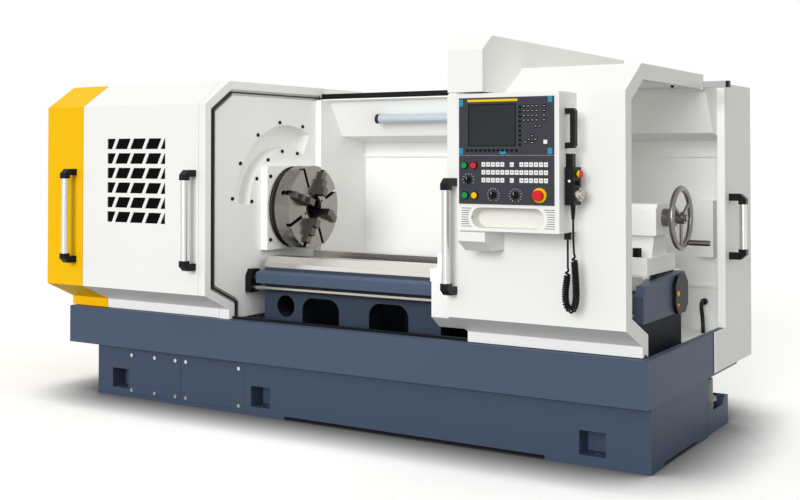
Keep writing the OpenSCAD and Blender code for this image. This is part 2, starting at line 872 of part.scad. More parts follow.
// Headstock wall: a sheet on a frame, with the hood's landing groove and the crescent recess
module sector(r0, r1, more = 0) {
    a0 = crescent_a[0] - more;
    a1 = crescent_a[1] + more;
    translate([0, spindle_h]) intersection() {
        difference() {
            circle(r = r1, $fn = 128);
            circle(r = r0, $fn = 128);
        }
        polygon(concat([[0, 0]],
            [for (i = [0:4]) let (a = a0 + (a1 - a0) * i / 4) 2 * r1 * [cos(a), sin(a)]]));
    }
}
module headstock_wall() {
    outline = concat(cover_line(tray_top), [[cab_back, top_z], [cab_back, tray_top]]);
    cap_line = concat(cover_line(cover_foot), [[cab_back, top_z], [cab_back, cover_foot]]);
    hole = flange_w / 2 - throat_in + seam;
    way_through = 60;
    pan_x = -crescent_deep - sheet;
    color("whitesmoke") {
        difference() {
            union() {
                difference() {
                    union() {
                        along_x(-sheet, sheet) polygon(outline);
                        along_x(-wall_frame - swing_back, wall_frame + swing_back)
                            band(wall_line, 0, seal_out + 10);
                    }
                    swing(swing_r + seam);
                }
                along_x(pan_x, -pan_x) sector(crescent_r[0] - sheet, crescent_r[1] + sheet, crescent_end);
            }
            along_x(-seal_deep, seal_deep + 1) band(wall_line, seal_in, seal_out);
            along_x(-crescent_deep, crescent_deep + 1) sector(crescent_r[0], crescent_r[1]);
            span([pan_x - 1, -hole, spindle_h - hole], [1, hole, spindle_h + hole]);
        }
        along_x(-wall_frame - swing_back - lip_w, swing_back + lip_w + 1)
            band(cover_line(tray_top), sheet + land_gap, 2 * sheet);
        span([seam_x, -cover_set + seam + sheet, top_z - sheet], [1 - wall_frame, cab_back, top_z]);
        span([seam_x, cab_back - sheet, tray_top], [1 - sheet, cab_back, top_z]);
        along_x(seam_x - lip_w, lip_w + sheet) band(cap_line, sheet + land_gap, 2 * sheet + 4);
        difference() {
            along_x(seam_x, sheet) polygon(concat(inset(cover_line(cover_foot), sheet + seam),
                [[cab_back - 1, top_z - 1], [cab_back - 1, tray_top]]));
            span([seam_x - 1, -pulley_d / 2 - way_through, tray_top + way_through],
                [seam_x + sheet + 1, cab_back - way_through, spindle_h + pulley_d / 2 + way_through]);
        }
    }
}

module wall_seal() {
    m = (seal_in + seal_out) / 2;
    color("black") along_x(-seal_deep, seal_deep + seal_proud) band(wall_line, m - seal_w / 2,
        m + seal_w / 2);
}

// Headstock door with its slanted grille
module grille_cell(x0, x1, z0, z1) {
    lean = grille_lean;
    intersection() {
        polygon([[x0, z0], [x1 - lean, z0], [x1, z1], [x0 + lean, z1]]);
        translate([grille_x, grille_z]) square([grille_w, grille_h]);
    }
}
module headstock_door() {
    x0 = seam_x + seam;
    pitch_x = (grille_w + grille_bar) / grille_cols;
    pitch_z = (grille_h + grille_bar) / grille_rows;
    color("whitesmoke") {
        difference() {
            intersection() {
                along_x(x0, -x0) band(cover_line(cover_foot), 0, sheet);
                swing(swing_r);
            }
            translate([0, -cover_front + sheet + 1, 0]) rotate([90, 0, 0]) linear_extrude(sheet + 2)
                for (i = [0:grille_cols]) for (j = [0:grille_rows - 1])
                    let (x = grille_x + (i - 0.5) * pitch_x, z = grille_z + j * pitch_z)
                        grille_cell(x, x + pitch_x - grille_bar + grille_lean, z,
                            z + pitch_z - grille_bar);
        }
        pull(-wall_frame - pull_in, -cover_front, pull_z, pull_l);
    }
}

module grille_screen() {
    color("black") span([grille_x - 20, -cover_front + sheet, grille_z - 20],
        [grille_x + grille_w + 20, -cover_front + sheet + 3, grille_z + grille_h + 20]);
}

// End cover: a cap with an end wall, hinged at the back
module end_cover() {
    x1 = seam_x - seam;
    closed = concat(cover_line(cover_foot), [[cab_back, top_z], [cab_back, cover_foot]]);
    color("gold") {
        along_x(-cab_l, sheet) polygon(closed);
        along_x(-cab_l, x1 + cab_l) band(closed, 0, sheet);
        pull(seam_x - pull_off, -cover_front, pull_z, pull_l);
    }
}

// Rear guard: a folded hollow section along the bed
module guard_section() {
    low_y = tray_back + seam;
    polygon([[low_y, rear_low_z], [low_y, tray_top], [rear_wall, tray_top],
        [rear_wall, slope_lo.y - slope_t],
        slope_lo, slope_hi, [rail_y - ledge_w, rail_z - 6], [rail_y - ledge_w, rail_z],
        [rail_y + rail_w + 2, rail_z], [rail_y + rail_w + 2, rear_top_z], [rear_back, rear_top_z],
        [rear_back, rear_low_z]]);
}
module rear_guard() {
    low_y = tray_back + seam;
    s = sheet;
    end_z = tray_top + seam;
    color("whitesmoke") {
        difference() {
            along_x(0, rear_x1) guard_section();
            along_x(s, rear_x1) polygon([[low_y + s, rear_low_z + s], [low_y + s, tray_top + s],
                [rear_wall + s, tray_top + s],
                    [rear_wall + s, slope_lo.y - slope_t + s], slope_lo + [s, s],
                slope_hi + [12, 2], [slope_hi.x + 12, rear_top_z - s], [rear_back - s, rear_top_z - s],
                [rear_back - s, rear_low_z + s]]);
        }
        along_x(rear_x1 - s, s) intersection() {
            guard_section();
            translate([rail_y - lip_w, tray_top]) square([door_y - rail_y + 2 * lip_w, top_z - tray_top]);
        }
        for (z = bead_z) span([0, rear_wall - bead, z], [rear_x1, rear_wall + 1, z + bead]);
        span([end_step, bed_w / 2 + 12, chute_z], [rear_x1 - seam, chute_back, chute_z + s]);
        span([end_step, chute_back - s, chute_z], [rear_x1 - seam, chute_back, tray_top + lip_w]);
        span([end_step, chute_back - s, end_z], [rear_x1 - seam, rear_wall + 1, tray_top + lip_w]);
        span([0, end_y, end_z], [end_step, end_y + s, rail_z - 6]);
        along_x(end_step - s, s) polygon([[end_y, end_z], [rear_wall + 1, end_z],
            [rear_wall + 1, slope_lo.y - slope_t], slope_lo, slope_hi, [rail_y, rail_z - 6],
                [end_y, rail_z - 6]]);
    }
}

module work_lamp() {
    y = slope_y(lamp_z) - 44;
    h = lamp_d / 2 - 8;
    color("white") {
        bar_x([lamp_x, y, lamp_z], lamp_d - 6, lamp_l);
        for (x = [lamp_x, lamp_x + lamp_l - lamp_cap]) {
            bar_x([x, y, lamp_z], lamp_d, lamp_cap);
            along_x(x, lamp_cap) polygon([[y, lamp_z - h], [y, lamp_z + h],
                [slope_y(lamp_z + h), lamp_z + h],
                [slope_y(lamp_z - h), lamp_z - h]]);
        }
    }
}

// Switch box on the rear wall, and the conduit that leaves a gland and runs down to the tray
module wall_fittings() {
    color("gainsboro") {
        span([switch_x, rear_wall - switch_d, switch_z],
            [switch_x + switch_w, rear_wall, switch_z + switch_h]);
        bar_y([hose_x, rear_wall - gland_l, hose_z], hose_d + 12, gland_l);
        tube(route(concat([for (p = hose_drop) p + hose_from], [hose_end]), 6), hose_d, 10, [1, 0, 0]);
    }
}

// End door of the rear guard: a folded pan that also covers the tray's end
module end_door() {
    x0 = rear_x1 + slide_gap;
    x1 = door_x1;
    color("whitesmoke") {
        span([x1 - sheet, door_y, rear_low_z], [x1, rear_back, rear_top_z]);
        span([x1 - sheet, door_step_y, rear_low_z], [x1, door_y + 1, cover_foot]);
        span([x0, door_y, cover_foot], [x1, door_y + sheet, rear_top_z]);
        span([x0, door_y, rear_top_z - sheet], [x1, rear_back, rear_top_z]);
        span([x0, rear_back - sheet, rear_low_z], [x1, rear_back, rear_top_z]);
        translate([x1, door_y + door_pull_at.x, pull_z + door_pull_at.y]) rotate([0, 0, 90])
            pull(0, 0, 0, short_pull_l);
    }
}

// Coolant tank behind the base, with its pump
module coolant_tank() {
    y0 = base_y1 + 30;
    color("darkslategray") difference() {
        span([tank_x, y0, 0], [tank_x + tank_l, y0 + tank_d, tank_h]);
        span([tank_x + tray_t, y0 + tray_t, tray_t],
            [tank_x + tank_l - tray_t, y0 + tank_d - tray_t, tank_h + 1]);
        translate([tank_x + tank_l + 1, pump_y, tank_h - 34]) rotate([0, -90, 0]) linear_extrude(20)
            polygon([[0, -70], [40, -110], [40, 110], [0, 70]]);
    }
}

module coolant_pump() {
    flange_z = tank_h - 11;
    motor_z = tank_h + 3;
    color("silver") translate([tank_x + tank_l - 65, pump_y, tray_t]) {
        cylinder(d = 84, h = tank_h - 10);
        translate([0, 0, flange_z]) cylinder(d = 110, h = 15);
        translate([0, 0, motor_z]) cylinder(d = 80, h = base_h - motor_z - 38);
        cylinder(d = 34, h = base_h - tray_t);
    }
}

// Carriage: bridge over the ways, front wing and the feed nut's bracket
module carriage() {
    x1 = saddle_x + saddle_l;
    y = -bed_w / 2;
    wing_in = y - 14;
    n0 = saddle_x + nut_at;
    n1 = n0 + nut_l;
    color("whitesmoke") difference() {
        union() {
            span([saddle_x, y - seam, saddle_z], [x1, bed_w / 2 + 20, saddle_z + saddle_t]);
            span([saddle_x, wing_in - 10, wing_z0], [x1, y - seam, saddle_z + saddle_t]);
            span([saddle_x, wing_y, wing_z0], [x1, wing_in, wing_z1]);
            span([n0, wing_y + 6, nut_z], [n1, y - chan_d - seam, wing_z0 + 1]);
            span([n0, wing_y + 6, nut_z], [n1, screw_y + 22, chan_z0 - seam]);
            span([n0, screw_y - 22, nut_z], [n1, screw_y + 22, screw_z + 22]);
        }
        bar_x([n0 - 1, screw_y, screw_z], screw_d + 2 * run_gap, nut_l + 2);
        span([slide_x - slide_gap, slide_y - 80, slide_z - 12],
            [slide_x + slide_w + slide_gap, bed_w / 2 + 30, slide_z]);
    }
}

module apron() {
    line = [[wing_y + 70, apron_low], [wing_y, apron_fold], [wing_y, wing_z0]];
    color("whitesmoke") {
        along_x(saddle_x + 7, saddle_l - 7) band(line, 0, sheet);
        span([saddle_x + 7, wing_y, wing_z0 - sheet], [saddle_x + saddle_l, wing_y + sheet + 1, wing_z0]);
    }
}

module cross_slide() {
    color("whitesmoke") {
        span([slide_x, slide_y, slide_z - 12 + slide_gap],
            [slide_x + slide_w, slide_y + slide_l, slide_z + slide_t]);
        translate([turret_x, turret_y, turret_z - 1]) cylinder(d = 170, h = turret_base_t + 1);
    }
}

// Square turret with a tool slot on each side and its clamp handle boss
module tool_turret() {
    z0 = turret_z + turret_base_t + slide_gap;
    h = turret_h;
    color("dimgray") translate([turret_x, turret_y, z0]) difference() {
        union() {
            translate([-turret_w / 2, -turret_w / 2, 0]) cube([turret_w, turret_w, h]);
            translate([0, 0, h - 1]) cylinder(d = 90, h = 25);
        }
        for (a = [0:90:270]) rotate(a) translate([turret_w / 2 - 36, -turret_w / 2 - 1, h * 0.3])
            cube([37, turret_w + 2, h * 0.36]);
    }
}

// Tailstock with its quill and handwheel
module tailstock() {
    x1 = tail_x + tail_l;
    x0 = tail_x + 10;
    z0 = saddle_z + tail_base_t;
    w = tail_w / 2;
    n = w - 26;
    clamp = bed_w / 2 - bed_wall - 5;
    color("whitesmoke") difference() {
        union() {
            span([x0, -tail_base_w / 2, saddle_z], [x1 - 10, tail_base_w / 2, z0]);
            span([x0 + 60, -60, saddle_z - 60], [x1 - 80, 60, saddle_z + 1]);
            span([x0 + 60, -clamp, way_h - 90], [x1 - 80, clamp, saddle_z - 59]);
            along_x(x0 + 20, tail_l - 50) polygon([[-w, z0 - 1], [-n, tail_low - 20], [-n, tail_low + 1],
                [n, tail_low + 1], [n, tail_low - 20], [w, z0 - 1]]);
            along_x(tail_x, tail_l) polygon([[-w, tail_low], [-w, tail_high - 20], [-w + 20, tail_high],
                [w - 20, tail_high], [w, tail_high - 20], [w, tail_low]]);
            bar_x([x1 - 1, 0, spindle_h], boss_d, boss_l + 1);
            translate([x1 - 70, -w - 35, z0 - 1]) cylinder(d = 40, h = 40, $fn = 6);
        }
        bar_x([tail_x - 1, 0, spindle_h], quill_d + 2 * run_gap, tail_l - 20);
        bar_x([x1 - 30, 0, spindle_h], wheel_shaft_d + 2 * run_gap, boss_l + 40);
    }
}

module quill() {
    color("silver") {
        bar_x([tail_x - 5, 0, spindle_h], quill_d, quill_l);
        translate([tail_x - 4, 0, spindle_h]) rotate([0, -90, 0]) cylinder(d1 = 44, d2 = 4, h = 36);
    }
}

module handwheel() {
    color("dimgray") {
        translate([wheel_x, 0, spindle_h]) rotate([0, 90, 0]) rotate_extrude($fn = 96)
            translate([wheel_r, 0]) circle(d = rim_d, $fn = 32);
        for (a = [30:120:270]) translate([wheel_x, 0, spindle_h]) rotate([a, 0, 0])
            bar_y([0, hub_d / 2 - 8, 0], spoke_d, wheel_r - hub_d / 2 + 8);
        bar_x([wheel_x - hub_l / 2, 0, spindle_h], hub_d, hub_l);
        bar_x([tail_x + tail_l - 10, 0, spindle_h], wheel_shaft_d, wheel_x + hub_l - tail_x - tail_l);
        translate([0, wheel_r * cos(grip_a), spindle_h + wheel_r * sin(grip_a)])
            bar_x([wheel_x, 0, 0], pin_d, rim_d / 2 + grip_l + 2);
    }
}

module crank_grip() {
    color("dimgray") translate([0, wheel_r * cos(grip_a),
        spindle_h + wheel_r * sin(grip_a)]) difference() {
        bar_x([wheel_x + rim_d / 2 + 1, 0, 0], grip_d, grip_l);
        bar_x([wheel_x + rim_d / 2, 0, 0], pin_d + 2 * run_gap, grip_l + 2);
    }
}

// Sliding hood: skin with a frame at each end, shoes on the two rails and a handle
module hood() {
    foot = tray_top + seam + 1;
    skin = concat(cover_line(foot), [[hood_back, top_z]]);
    frame_line = concat(cover_line(foot), [[rail_y - 8, top_z]]);
    color("whitesmoke") {
        difference() {
            union() {
                along_x(hood_x, hood_l) band(skin, 0, sheet);
                for (x = [hood_x, hood_x1 - hood_frame_t])
                    along_x(x, hood_frame_t) band(frame_line, 0, hood_frame_w);
            }
            span([hood_x - 1, guide_y - slide_gap, tray_top],
                [hood_x1 + 1, guide_y + guide_w + slide_gap, tray_top + guide_h + slide_gap]);
        }
        for (x = [hood_x, hood_x1 - shoe_l]) {
            span([x, rail_y - 10, rail_z + rail_w + slide_gap], [x + shoe_l, rail_y + rail_w, top_z - 1]);
            span([x, rail_y - 10, rail_z + 4], [x + shoe_l, rail_y - slide_gap, top_z - 1]);
            span([x, -cover_set + 1, tray_top + guide_h + slide_gap],
                [x + shoe_l, guide_y + guide_w + 12, tray_top + guide_h + 26]);
        }
        span([hood_x, rail_y - 10, rail_z + ledge_w], [hood_x1, rail_y - 10 + sheet, top_z - 1]);
        pull(hood_x + 29, -cover_front, pull_z - 23, pull_l);
    }
}

// Overhead arm: a duct that sits on the hood and reaches forward over the control box
module overhead_arm() {
    z0 = fold_hi_z + 2;
    color("whitesmoke") along_x(arm_x, arm_w) polygon([[-arm_front, z0], [-arm_front, arm_top_z - 60],
        [-arm_front + 79, arm_top_z], [cab_back, arm_top_z], [cab_back, top_z], [-cover_set, top_z],
        [-cover_front, fold_hi_z], [-cover_front, z0]]);
}

// Control box with its hand opening, louvres and support bracket
module control_box() {
    x1 = box_x + box_w;
    ends = [recess_x + recess_d / 2, recess_x + recess_l - recess_d / 2];
    color("whitesmoke") {
        difference() {
            span([box_x, box_y, box_z], [x1, -cover_front, box_z + box_h]);
            for (x = ends) bar_y([x, box_y - 1, recess_z], recess_d, recess_t + 1);
            span([ends[0], box_y - 1, recess_z - recess_d / 2],
                [ends[1], box_y + recess_t, recess_z + recess_d / 2]);
            for (i = [-4:4]) let (z = recess_z + i * 8.7 - louvre_t / 2, w = 30 + 14 * pow(i / 4, 2)) {
                span([box_x + louvre_in, box_y - 1, z], [box_x + louvre_in + w, box_y + 6, z + louvre_t]);
                span([x1 - louvre_in - w, box_y - 1, z], [x1 - louvre_in, box_y + 6, z + louvre_t]);
            }
            for (p = controls)
                bar_y([panel_x + p.x, box_y - 1, oper_z + p.y], stem_d + 2 * land_gap, stem_l + 8);
        }
        along_x(box_x + 2, bracket_w) polygon([[box_y, box_z - 5], [box_y, box_z - bracket_h / 2],
            [box_y + 60, box_z - bracket_h], [-cover_front, box_z - bracket_h], [-cover_front, box_z + 1],
            [box_y + 20, box_z + 1], [box_y + 20, box_z - 5]]);
        translate(cord_from + cord_out[0]) cylinder(d = gland_d, h = gland_l + 1);
        translate([x1, box_y + bow_at[0] + bow_w / 2, box_z + bow_at[1]]) rotate([90, 0,
            0]) linear_extrude(bow_w)
            polygon([[-1, 0], [bow_out - 8, 0], [bow_out, 10], [bow_out, bow_l - 10], [bow_out - 8, bow_l],
                [-1, bow_l], [-1, bow_l - bow_t], [bow_out - 20, bow_l - bow_t],
                    [bow_out - 20, bow_t], [-1, bow_t]]);
        span([x1 - 1, pend_y + 15, pend_z + 20], [pend_x, pend_y + pend_w - 15, pend_z + pend_h + 50]);
        span([x1, pend_y + 20, pend_z + pend_h + land_gap],
            [pend_x + 22, pend_y + 50, pend_z + pend_h + 50]);
    }
}

module control_panel() {
    sx = panel_x + screen_at.x;
    sz = unit_z + screen_at.y;
    ring = button_d + 2 * land_gap;
    color("dimgray") {
        difference() {
            span([panel_x, panel_y, unit_z], [panel_x + panel_w, box_y, panel_z1]);
            span([sx, panel_y - 1, sz], [sx + screen_w, panel_y + 2, sz + screen_h]);
        }
        for (i = [0:11]) let (x = panel_x + 32 + i * 19)
            span([x, panel_y - key_t, unit_z + 13], [x + 11, panel_y + 1, unit_z + 22]);
        for (i = [0:8]) let (z = unit_z + 34 + i * 17.6)
            span([panel_x + 257, panel_y - key_t, z], [panel_x + 267, panel_y + 1, z + 10]);
        for (r = [0:2]) for (i = [0:13]) if (r == 1 || !(i == key_gap[0] || i == key_gap[1]))
            let (x = panel_x + keys_at.x + i * key_pitch, z = oper_z + keys_at.y + r * key_row)
                span([x - key_w / 2, panel_y - key_t, z - key_h / 2],
                    [x + key_w / 2, panel_y + 1, z + key_h / 2]);
        difference() {
            union() {
                span([panel_x, panel_y, oper_z], [panel_x + panel_w, box_y, oper_z + oper_h]);
                for (p = buttons)
                    bar_y([panel_x + p.x, panel_y - bezel_t, oper_z + p.y], ring + 5, bezel_t + 1);
                bar_y([panel_x + estop_at.x, panel_y - bezel_t, oper_z + estop_at.y], estop_d + 16,
                    bezel_t + 1);
            }
            for (p = controls)
                bar_y([panel_x + p.x, panel_y - bezel_t - 1, oper_z + p.y], stem_d + 2 * land_gap,
                    panel_t + bezel_t + 2);
            for (p = buttons)
                bar_y([panel_x + p.x, panel_y - bezel_t - 1, oper_z + p.y], ring, bezel_t + 1);
        }
    }
}

// A control at p on the operator unit: a cap that stands off the panel, on a stem into the box
module control(p, d, lift, t) {
    translate([panel_x + p.x, panel_y, oper_z + p.y]) {
        bar_y([0, -lift - t, 0], d, t);
        bar_y([0, -lift - 1, 0], stem_d, stem_l + lift);
    }
}
module push(p) {
    control(p, button_d, button_travel + slide_gap, cap_t);
}
module power_on() {
    color("green") push(on_at);
}
module power_off() {
    color("red") push(off_at);
}
module cycle_start() {
    color("green") push(start_at);
}
module feed_hold() {
    color("gold") push(hold_at);
}
module emergency_stop() {
    color("red") control(estop_at, estop_d, bezel_t + button_travel + slide_gap, 16);
}

// Knob with a pointer rib across its top
module knob(p) {
    control(p, knob_d, slide_gap, knob_t - 6);
    translate([panel_x + p.x, panel_y, oper_z + p.y])
        span([-4, -knob_t, -knob_d / 2 + 1], [4, -knob_t + 7, knob_d / 2 - 1]);
}
module mode_knob() {
    color("black") knob(mode_at);
}
module feed_knob() {
    color("black") knob(feed_at);
}
module speed_knob() {
    color("black") knob(speed_at);
}

// Pendant: body with its holder plate behind, selector, strain relief and holes for dial and stop
module pendant() {
    color("dimgray") difference() {
        union() {
            span([pend_x, pend_y, pend_z], [pend_x + pend_t, pend_y + pend_w, pend_z + pend_h]);
            translate([pend_x + pend_t / 2, pend_y + pend_w / 2, pend_z - relief_l])
                cylinder(d1 = 12, d2 = 20, h = relief_l + 1);
            bar_x([pend_x + pend_t - 1, pend_y + pend_w / 2, pend_z + pend_sel], 18, 13);
        }
        for (z = [pend_dial_z, pend_stop_z])
            bar_x([pend_x + pend_t - pend_stem, pend_y + pend_w / 2, pend_z + z], stem_d + 2 * land_gap,
                pend_stem + 1);
    }
}

module pendant_dial() {
    color("silver") translate([pend_x + pend_t, pend_y + pend_w / 2, pend_z + pend_dial_z]) {
        bar_x([slide_gap, 0, 0], dial_d, dial_t);
        bar_x([dial_t - 1, 0, 0], dial_d - 14, 8);
        bar_x([-pend_stem + 2, 0, 0], stem_d, pend_stem);
        bar_x([dial_t, 17, 0], 10, 18);
    }
}

module pendant_stop() {
    lift = button_travel + slide_gap;
    color("red") translate([pend_x + pend_t, pend_y + pend_w / 2, pend_z + pend_stop_z]) {
        bar_x([lift, 0, 0], 26, 14);
        bar_x([-pend_stem + lift + 1, 0, 0], stem_d, pend_stem);
    }
}

// Cord of the pendant: its two straight stretches, and the curly stretch as one fat tube
module pendant_cord() {
    color("black") for (p = [cord_out, cord_in]) tube(route([for (q = p) q + cord_from], 8), cord_d);
}
module pendant_coil() {
    color("black") tube(route([for (q = cord_coil) q + cord_from], 7), coil_d, 12);
}

base();
access_covers();
fasteners();
chip_tray();
door_rails();
bed();
screw_cover();
guard_rod();
screw_bearing();
axis_drive();
drive_lid();
feed_screw();
headstock();
spindle_bearings();
spindle();
chuck_plate();
chuck_body();
jaw_1();
jaw_2();
jaw_3();
jaw_4();
main_motor();
motor_pulley();
drive_belt();
headstock_wall();
wall_seal();
headstock_door();
grille_screen();
end_cover();
rear_guard();
work_lamp();
wall_fittings();
end_door();
coolant_tank();
coolant_pump();
carriage();
apron();
cross_slide();
tool_turret();
tailstock();
quill();
handwheel();
crank_grip();
hood();
overhead_arm();
control_box();
control_panel();
power_on();
power_off();
cycle_start();
feed_hold();
emergency_stop();
mode_knob();
feed_knob();
speed_knob();
pendant();
pendant_dial();
pendant_stop();
pendant_cord();
pendant_coil();
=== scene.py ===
"""Looks of a CNC turning lathe with a sliding hood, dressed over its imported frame.

Every solid of the frame gets a procedural finish here. The curly pendant cord, the screen, the
small keys and the marks round the knobs are modelled as pieces of their own. Metres, +Z up.
"""

import logging
import math
from dataclasses import dataclass
from enum import Enum
from typing import Dict, Iterable, List, Optional, Sequence, Tuple, Union

import bmesh
import bpy
from mathutils import Matrix, Vector


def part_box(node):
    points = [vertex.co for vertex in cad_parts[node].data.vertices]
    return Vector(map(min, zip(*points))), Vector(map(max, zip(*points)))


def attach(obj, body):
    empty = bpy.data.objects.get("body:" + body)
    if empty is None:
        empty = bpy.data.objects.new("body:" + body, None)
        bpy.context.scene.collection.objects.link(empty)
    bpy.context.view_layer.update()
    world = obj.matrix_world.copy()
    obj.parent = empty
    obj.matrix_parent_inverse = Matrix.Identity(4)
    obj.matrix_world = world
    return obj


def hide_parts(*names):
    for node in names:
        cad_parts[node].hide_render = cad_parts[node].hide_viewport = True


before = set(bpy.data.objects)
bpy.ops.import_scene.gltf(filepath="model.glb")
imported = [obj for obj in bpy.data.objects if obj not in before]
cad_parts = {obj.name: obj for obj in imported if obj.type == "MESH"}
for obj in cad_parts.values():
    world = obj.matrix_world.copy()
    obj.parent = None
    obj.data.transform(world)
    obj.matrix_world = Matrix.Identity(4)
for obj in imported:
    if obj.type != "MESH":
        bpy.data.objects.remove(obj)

log = logging.getLogger("lathe")

Colour = Tuple[float, float, float]
Point = Tuple[float, float, float]
Pair = Tuple[float, float]
Bound = Tuple[Optional[float], Optional[float]]
Operand = Union["Val", float]

OPEN: Bound = (None, None)
# How far a zone's limit stands off the face that it follows.
SKIN = 0.0005


class Body(Enum):
    """The moving bodies that the modelled pieces ride on."""

    HOOD = "hood"
    MODE_KNOB = "mode_knob"
    FEED_KNOB = "feed_knob"
    SPEED_KNOB = "speed_knob"


class Slot(Enum):
    """The record's material slots, one for each modelled piece."""

    RUBBER = "rubber"
    PANEL = "panel"
    BLACK_PLASTIC = "black_plastic"
    BLACK_METAL = "black_metal"
    YELLOW_PLASTIC = "yellow_plastic"
    LIGHT_GREY = "light_grey"
    BLACK_SCREEN = "black_screen"


def srgb(red: int, green: int, blue: int) -> Colour:
    """Turns a screen colour into a linear one.

    Args:
        red: Red share, 0 to 255.
        green: Green share, 0 to 255.
        blue: Blue share, 0 to 255.

    Returns:
        The linear colour.
    """
    shares = (red / 255.0, green / 255.0, blue / 255.0)
    return tuple(c / 12.92 if c <= 0.04045 else ((c + 0.055) / 1.055) ** 2.4 for c in shares)


def grey(share: float) -> Colour:
    """Gives a linear grey."""
    return (share, share, share)


class Val:
    """A number on a shader socket, so that shader maths reads as plain expressions."""

    def __init__(self, graph: "Graph", socket: bpy.types.NodeSocket) -> None:
        """Keeps the socket and the graph that it belongs to."""
        self.graph = graph
        self.socket = socket

    def __add__(self, other: Operand) -> "Val":
        """Adds a number."""
        return self.graph.math("ADD", self, other)

    __radd__ = __add__

    def __sub__(self, other: Operand) -> "Val":
        """Takes a number away."""
        return self.graph.math("SUBTRACT", self, other)

    def __rsub__(self, other: Operand) -> "Val":
        """Is taken away from a number."""
        return self.graph.math("SUBTRACT", other, self)

    def __mul__(self, other: Operand) -> "Val":
        """Multiplies by a number."""
        return self.graph.math("MULTIPLY", self, other)

    __rmul__ = __mul__

    def __gt__(self, other: Operand) -> "Val":
        """Gives 1 where the value is above a number, and 0 elsewhere."""
        return self.graph.math("GREATER_THAN", self, other)

    def __lt__(self, other: Operand) -> "Val":
        """Gives 1 where the value is below a number, and 0 elsewhere."""
        return self.graph.math("LESS_THAN", self, other)

    def __or__(self, other: Operand) -> "Val":
        """Gives the greater of two values, which joins two masks."""
        return self.graph.math("MAXIMUM", self, other)

    def root(self) -> "Val":
        """Gives the square root."""
        return self.graph.math("SQRT", self)


class Graph:
    """A node tree under construction, for a material or for the world."""

    def __init__(self, owner: Union[bpy.types.Material, bpy.types.World]) -> None:
        """Empties the owner's node tree.

        Args:
            owner: The material or the world that the tree belongs to.
        """
        owner.use_nodes = True
        self.tree = owner.node_tree
        self.tree.nodes.clear()

    def node(
        self,
        kind: str,
        settings: Optional[Dict[str, object]] = None,
        inputs: Optional[Dict[Union[int, str], object]] = None,
    ) -> bpy.types.Node:
        """Adds one node, sets it and then fills its sockets.

        Args:
            kind: The node's type name.
            settings: Properties that are set before the sockets.
            inputs: Numbers, colours, values or sockets by input name or place.

        Returns:
            The new node.
        """
        made = self.tree.nodes.new(kind)
        for name, value in (settings or {}).items():
            setattr(made, name, value)
        for place, value in (inputs or {}).items():
            socket = value.socket if isinstance(value, Val) else value
            if isinstance(socket, bpy.types.NodeSocket):
                self.tree.links.new(socket, made.inputs[place])
            else:
                made.inputs[place].default_value = socket
        return made

    def math(self, operation: str, *operands: Operand) -> Val:
        """Adds a Math node.

        Args:
            operation: The Math node's operation.
            operands: Values or plain numbers, in the order of its sockets.

        Returns:
            The result.
        """
        made = self.node("ShaderNodeMath", {"operation": operation}, dict(enumerate(operands)))
        return Val(self, made.outputs[0])

    def place(self) -> bpy.types.NodeSocket:
        """Gives the place on the piece, in metres."""
        return self.node("ShaderNodeTexCoord").outputs["Object"]

    def axes(self) -> Tuple[Val, Val, Val]:
        """Gives the place on the piece as its X, Y and Z values."""
        made = self.node("ShaderNodeSeparateXYZ", None, {0: self.place()})
        return tuple(Val(self, socket) for socket in made.outputs)

    def radius(self, centre: Pair) -> Val:
        """Gives the distance from an axis along X.

        Args:
            centre: Y and Z of the axis.

        Returns:
            The distance in metres.
        """
        _, y, z = self.axes()
        across, up = y - centre[0], z - centre[1]
        return (across * across + up * up).root()

    def noise(self, pitch: Point, detail: float) -> Val:
        """Adds a noise that is stretched along the axes.

        Args:
            pitch: Spots per metre along X, Y and Z.
            detail: Noise detail.

        Returns:
            The noise, about 0.5 on average.
        """
        stretch = {"operation": "MULTIPLY"}
        vector = self.node("ShaderNodeVectorMath", stretch, {0: self.place(), 1: pitch})
        fill = {"Vector": vector.outputs[0], "Scale": 1.0, "Detail": detail}
        return Val(self, self.node("ShaderNodeTexNoise", None, fill).outputs[0])

    def mix(self, share: Operand, first: object, second: object) -> bpy.types.NodeSocket:
        """Mixes two colours.

        Args:
            share: Share of the second colour.
            first: Linear colour or colour socket.
            second: Linear colour or colour socket.

        Returns:
            The mixed colour's socket.
        """
        pair = [(*c, 1.0) if isinstance(c, tuple) else c for c in (first, second)]
        made = self.node("ShaderNodeMix", {"data_type": "RGBA"}, {0: share, 6: pair[0], 7: pair[1]})
        return made.outputs[2]

    def bump(self, height: Val, depth: float) -> bpy.types.NodeSocket:
        """Turns a height from 0 to 1 into a bumped normal, with a depth in metres."""
        made = self.node("ShaderNodeBump", None, {"Strength": 1.0, "Distance": depth, "Height": height})
        return made.outputs[0]

    def surface(self, shader: bpy.types.NodeSocket, kind: str = "ShaderNodeOutputMaterial") -> None:
        """Ends the tree in its output node."""
        self.node(kind, None, {"Surface": shader})


@dataclass(frozen=True)
class Coat:
    """How one kind of surface takes light.

    Args:
        colour: Linear base colour.
        rough: Roughness.
        metal: Metallic share.
    """

    colour: Colour
    rough: float
    metal: float = 0.0


@dataclass(frozen=True)
class Zone:
    """A box on a piece where another coat takes over.

    Args:
        coat: The coat inside the box.
        x: Lowest and highest X, None where it is open.
        y: Lowest and highest Y, None where it is open.
        z: Lowest and highest Z, None where it is open.
    """

    coat: Coat
    x: Bound = OPEN
    y: Bound = OPEN
    z: Bound = OPEN

    def mask(self, graph: Graph) -> Operand:
        """Gives 1 inside the box and 0 outside it.

        Args:
            graph: The material under construction.

        Returns:
            The mask.
        """
        inside: Operand = 1.0
        for value, (low, high) in zip(graph.axes(), (self.x, self.y, self.z)):
            if low is not None:
                inside = (value > low) * inside
            if high is not None:
                inside = (value < high) * inside
        return inside


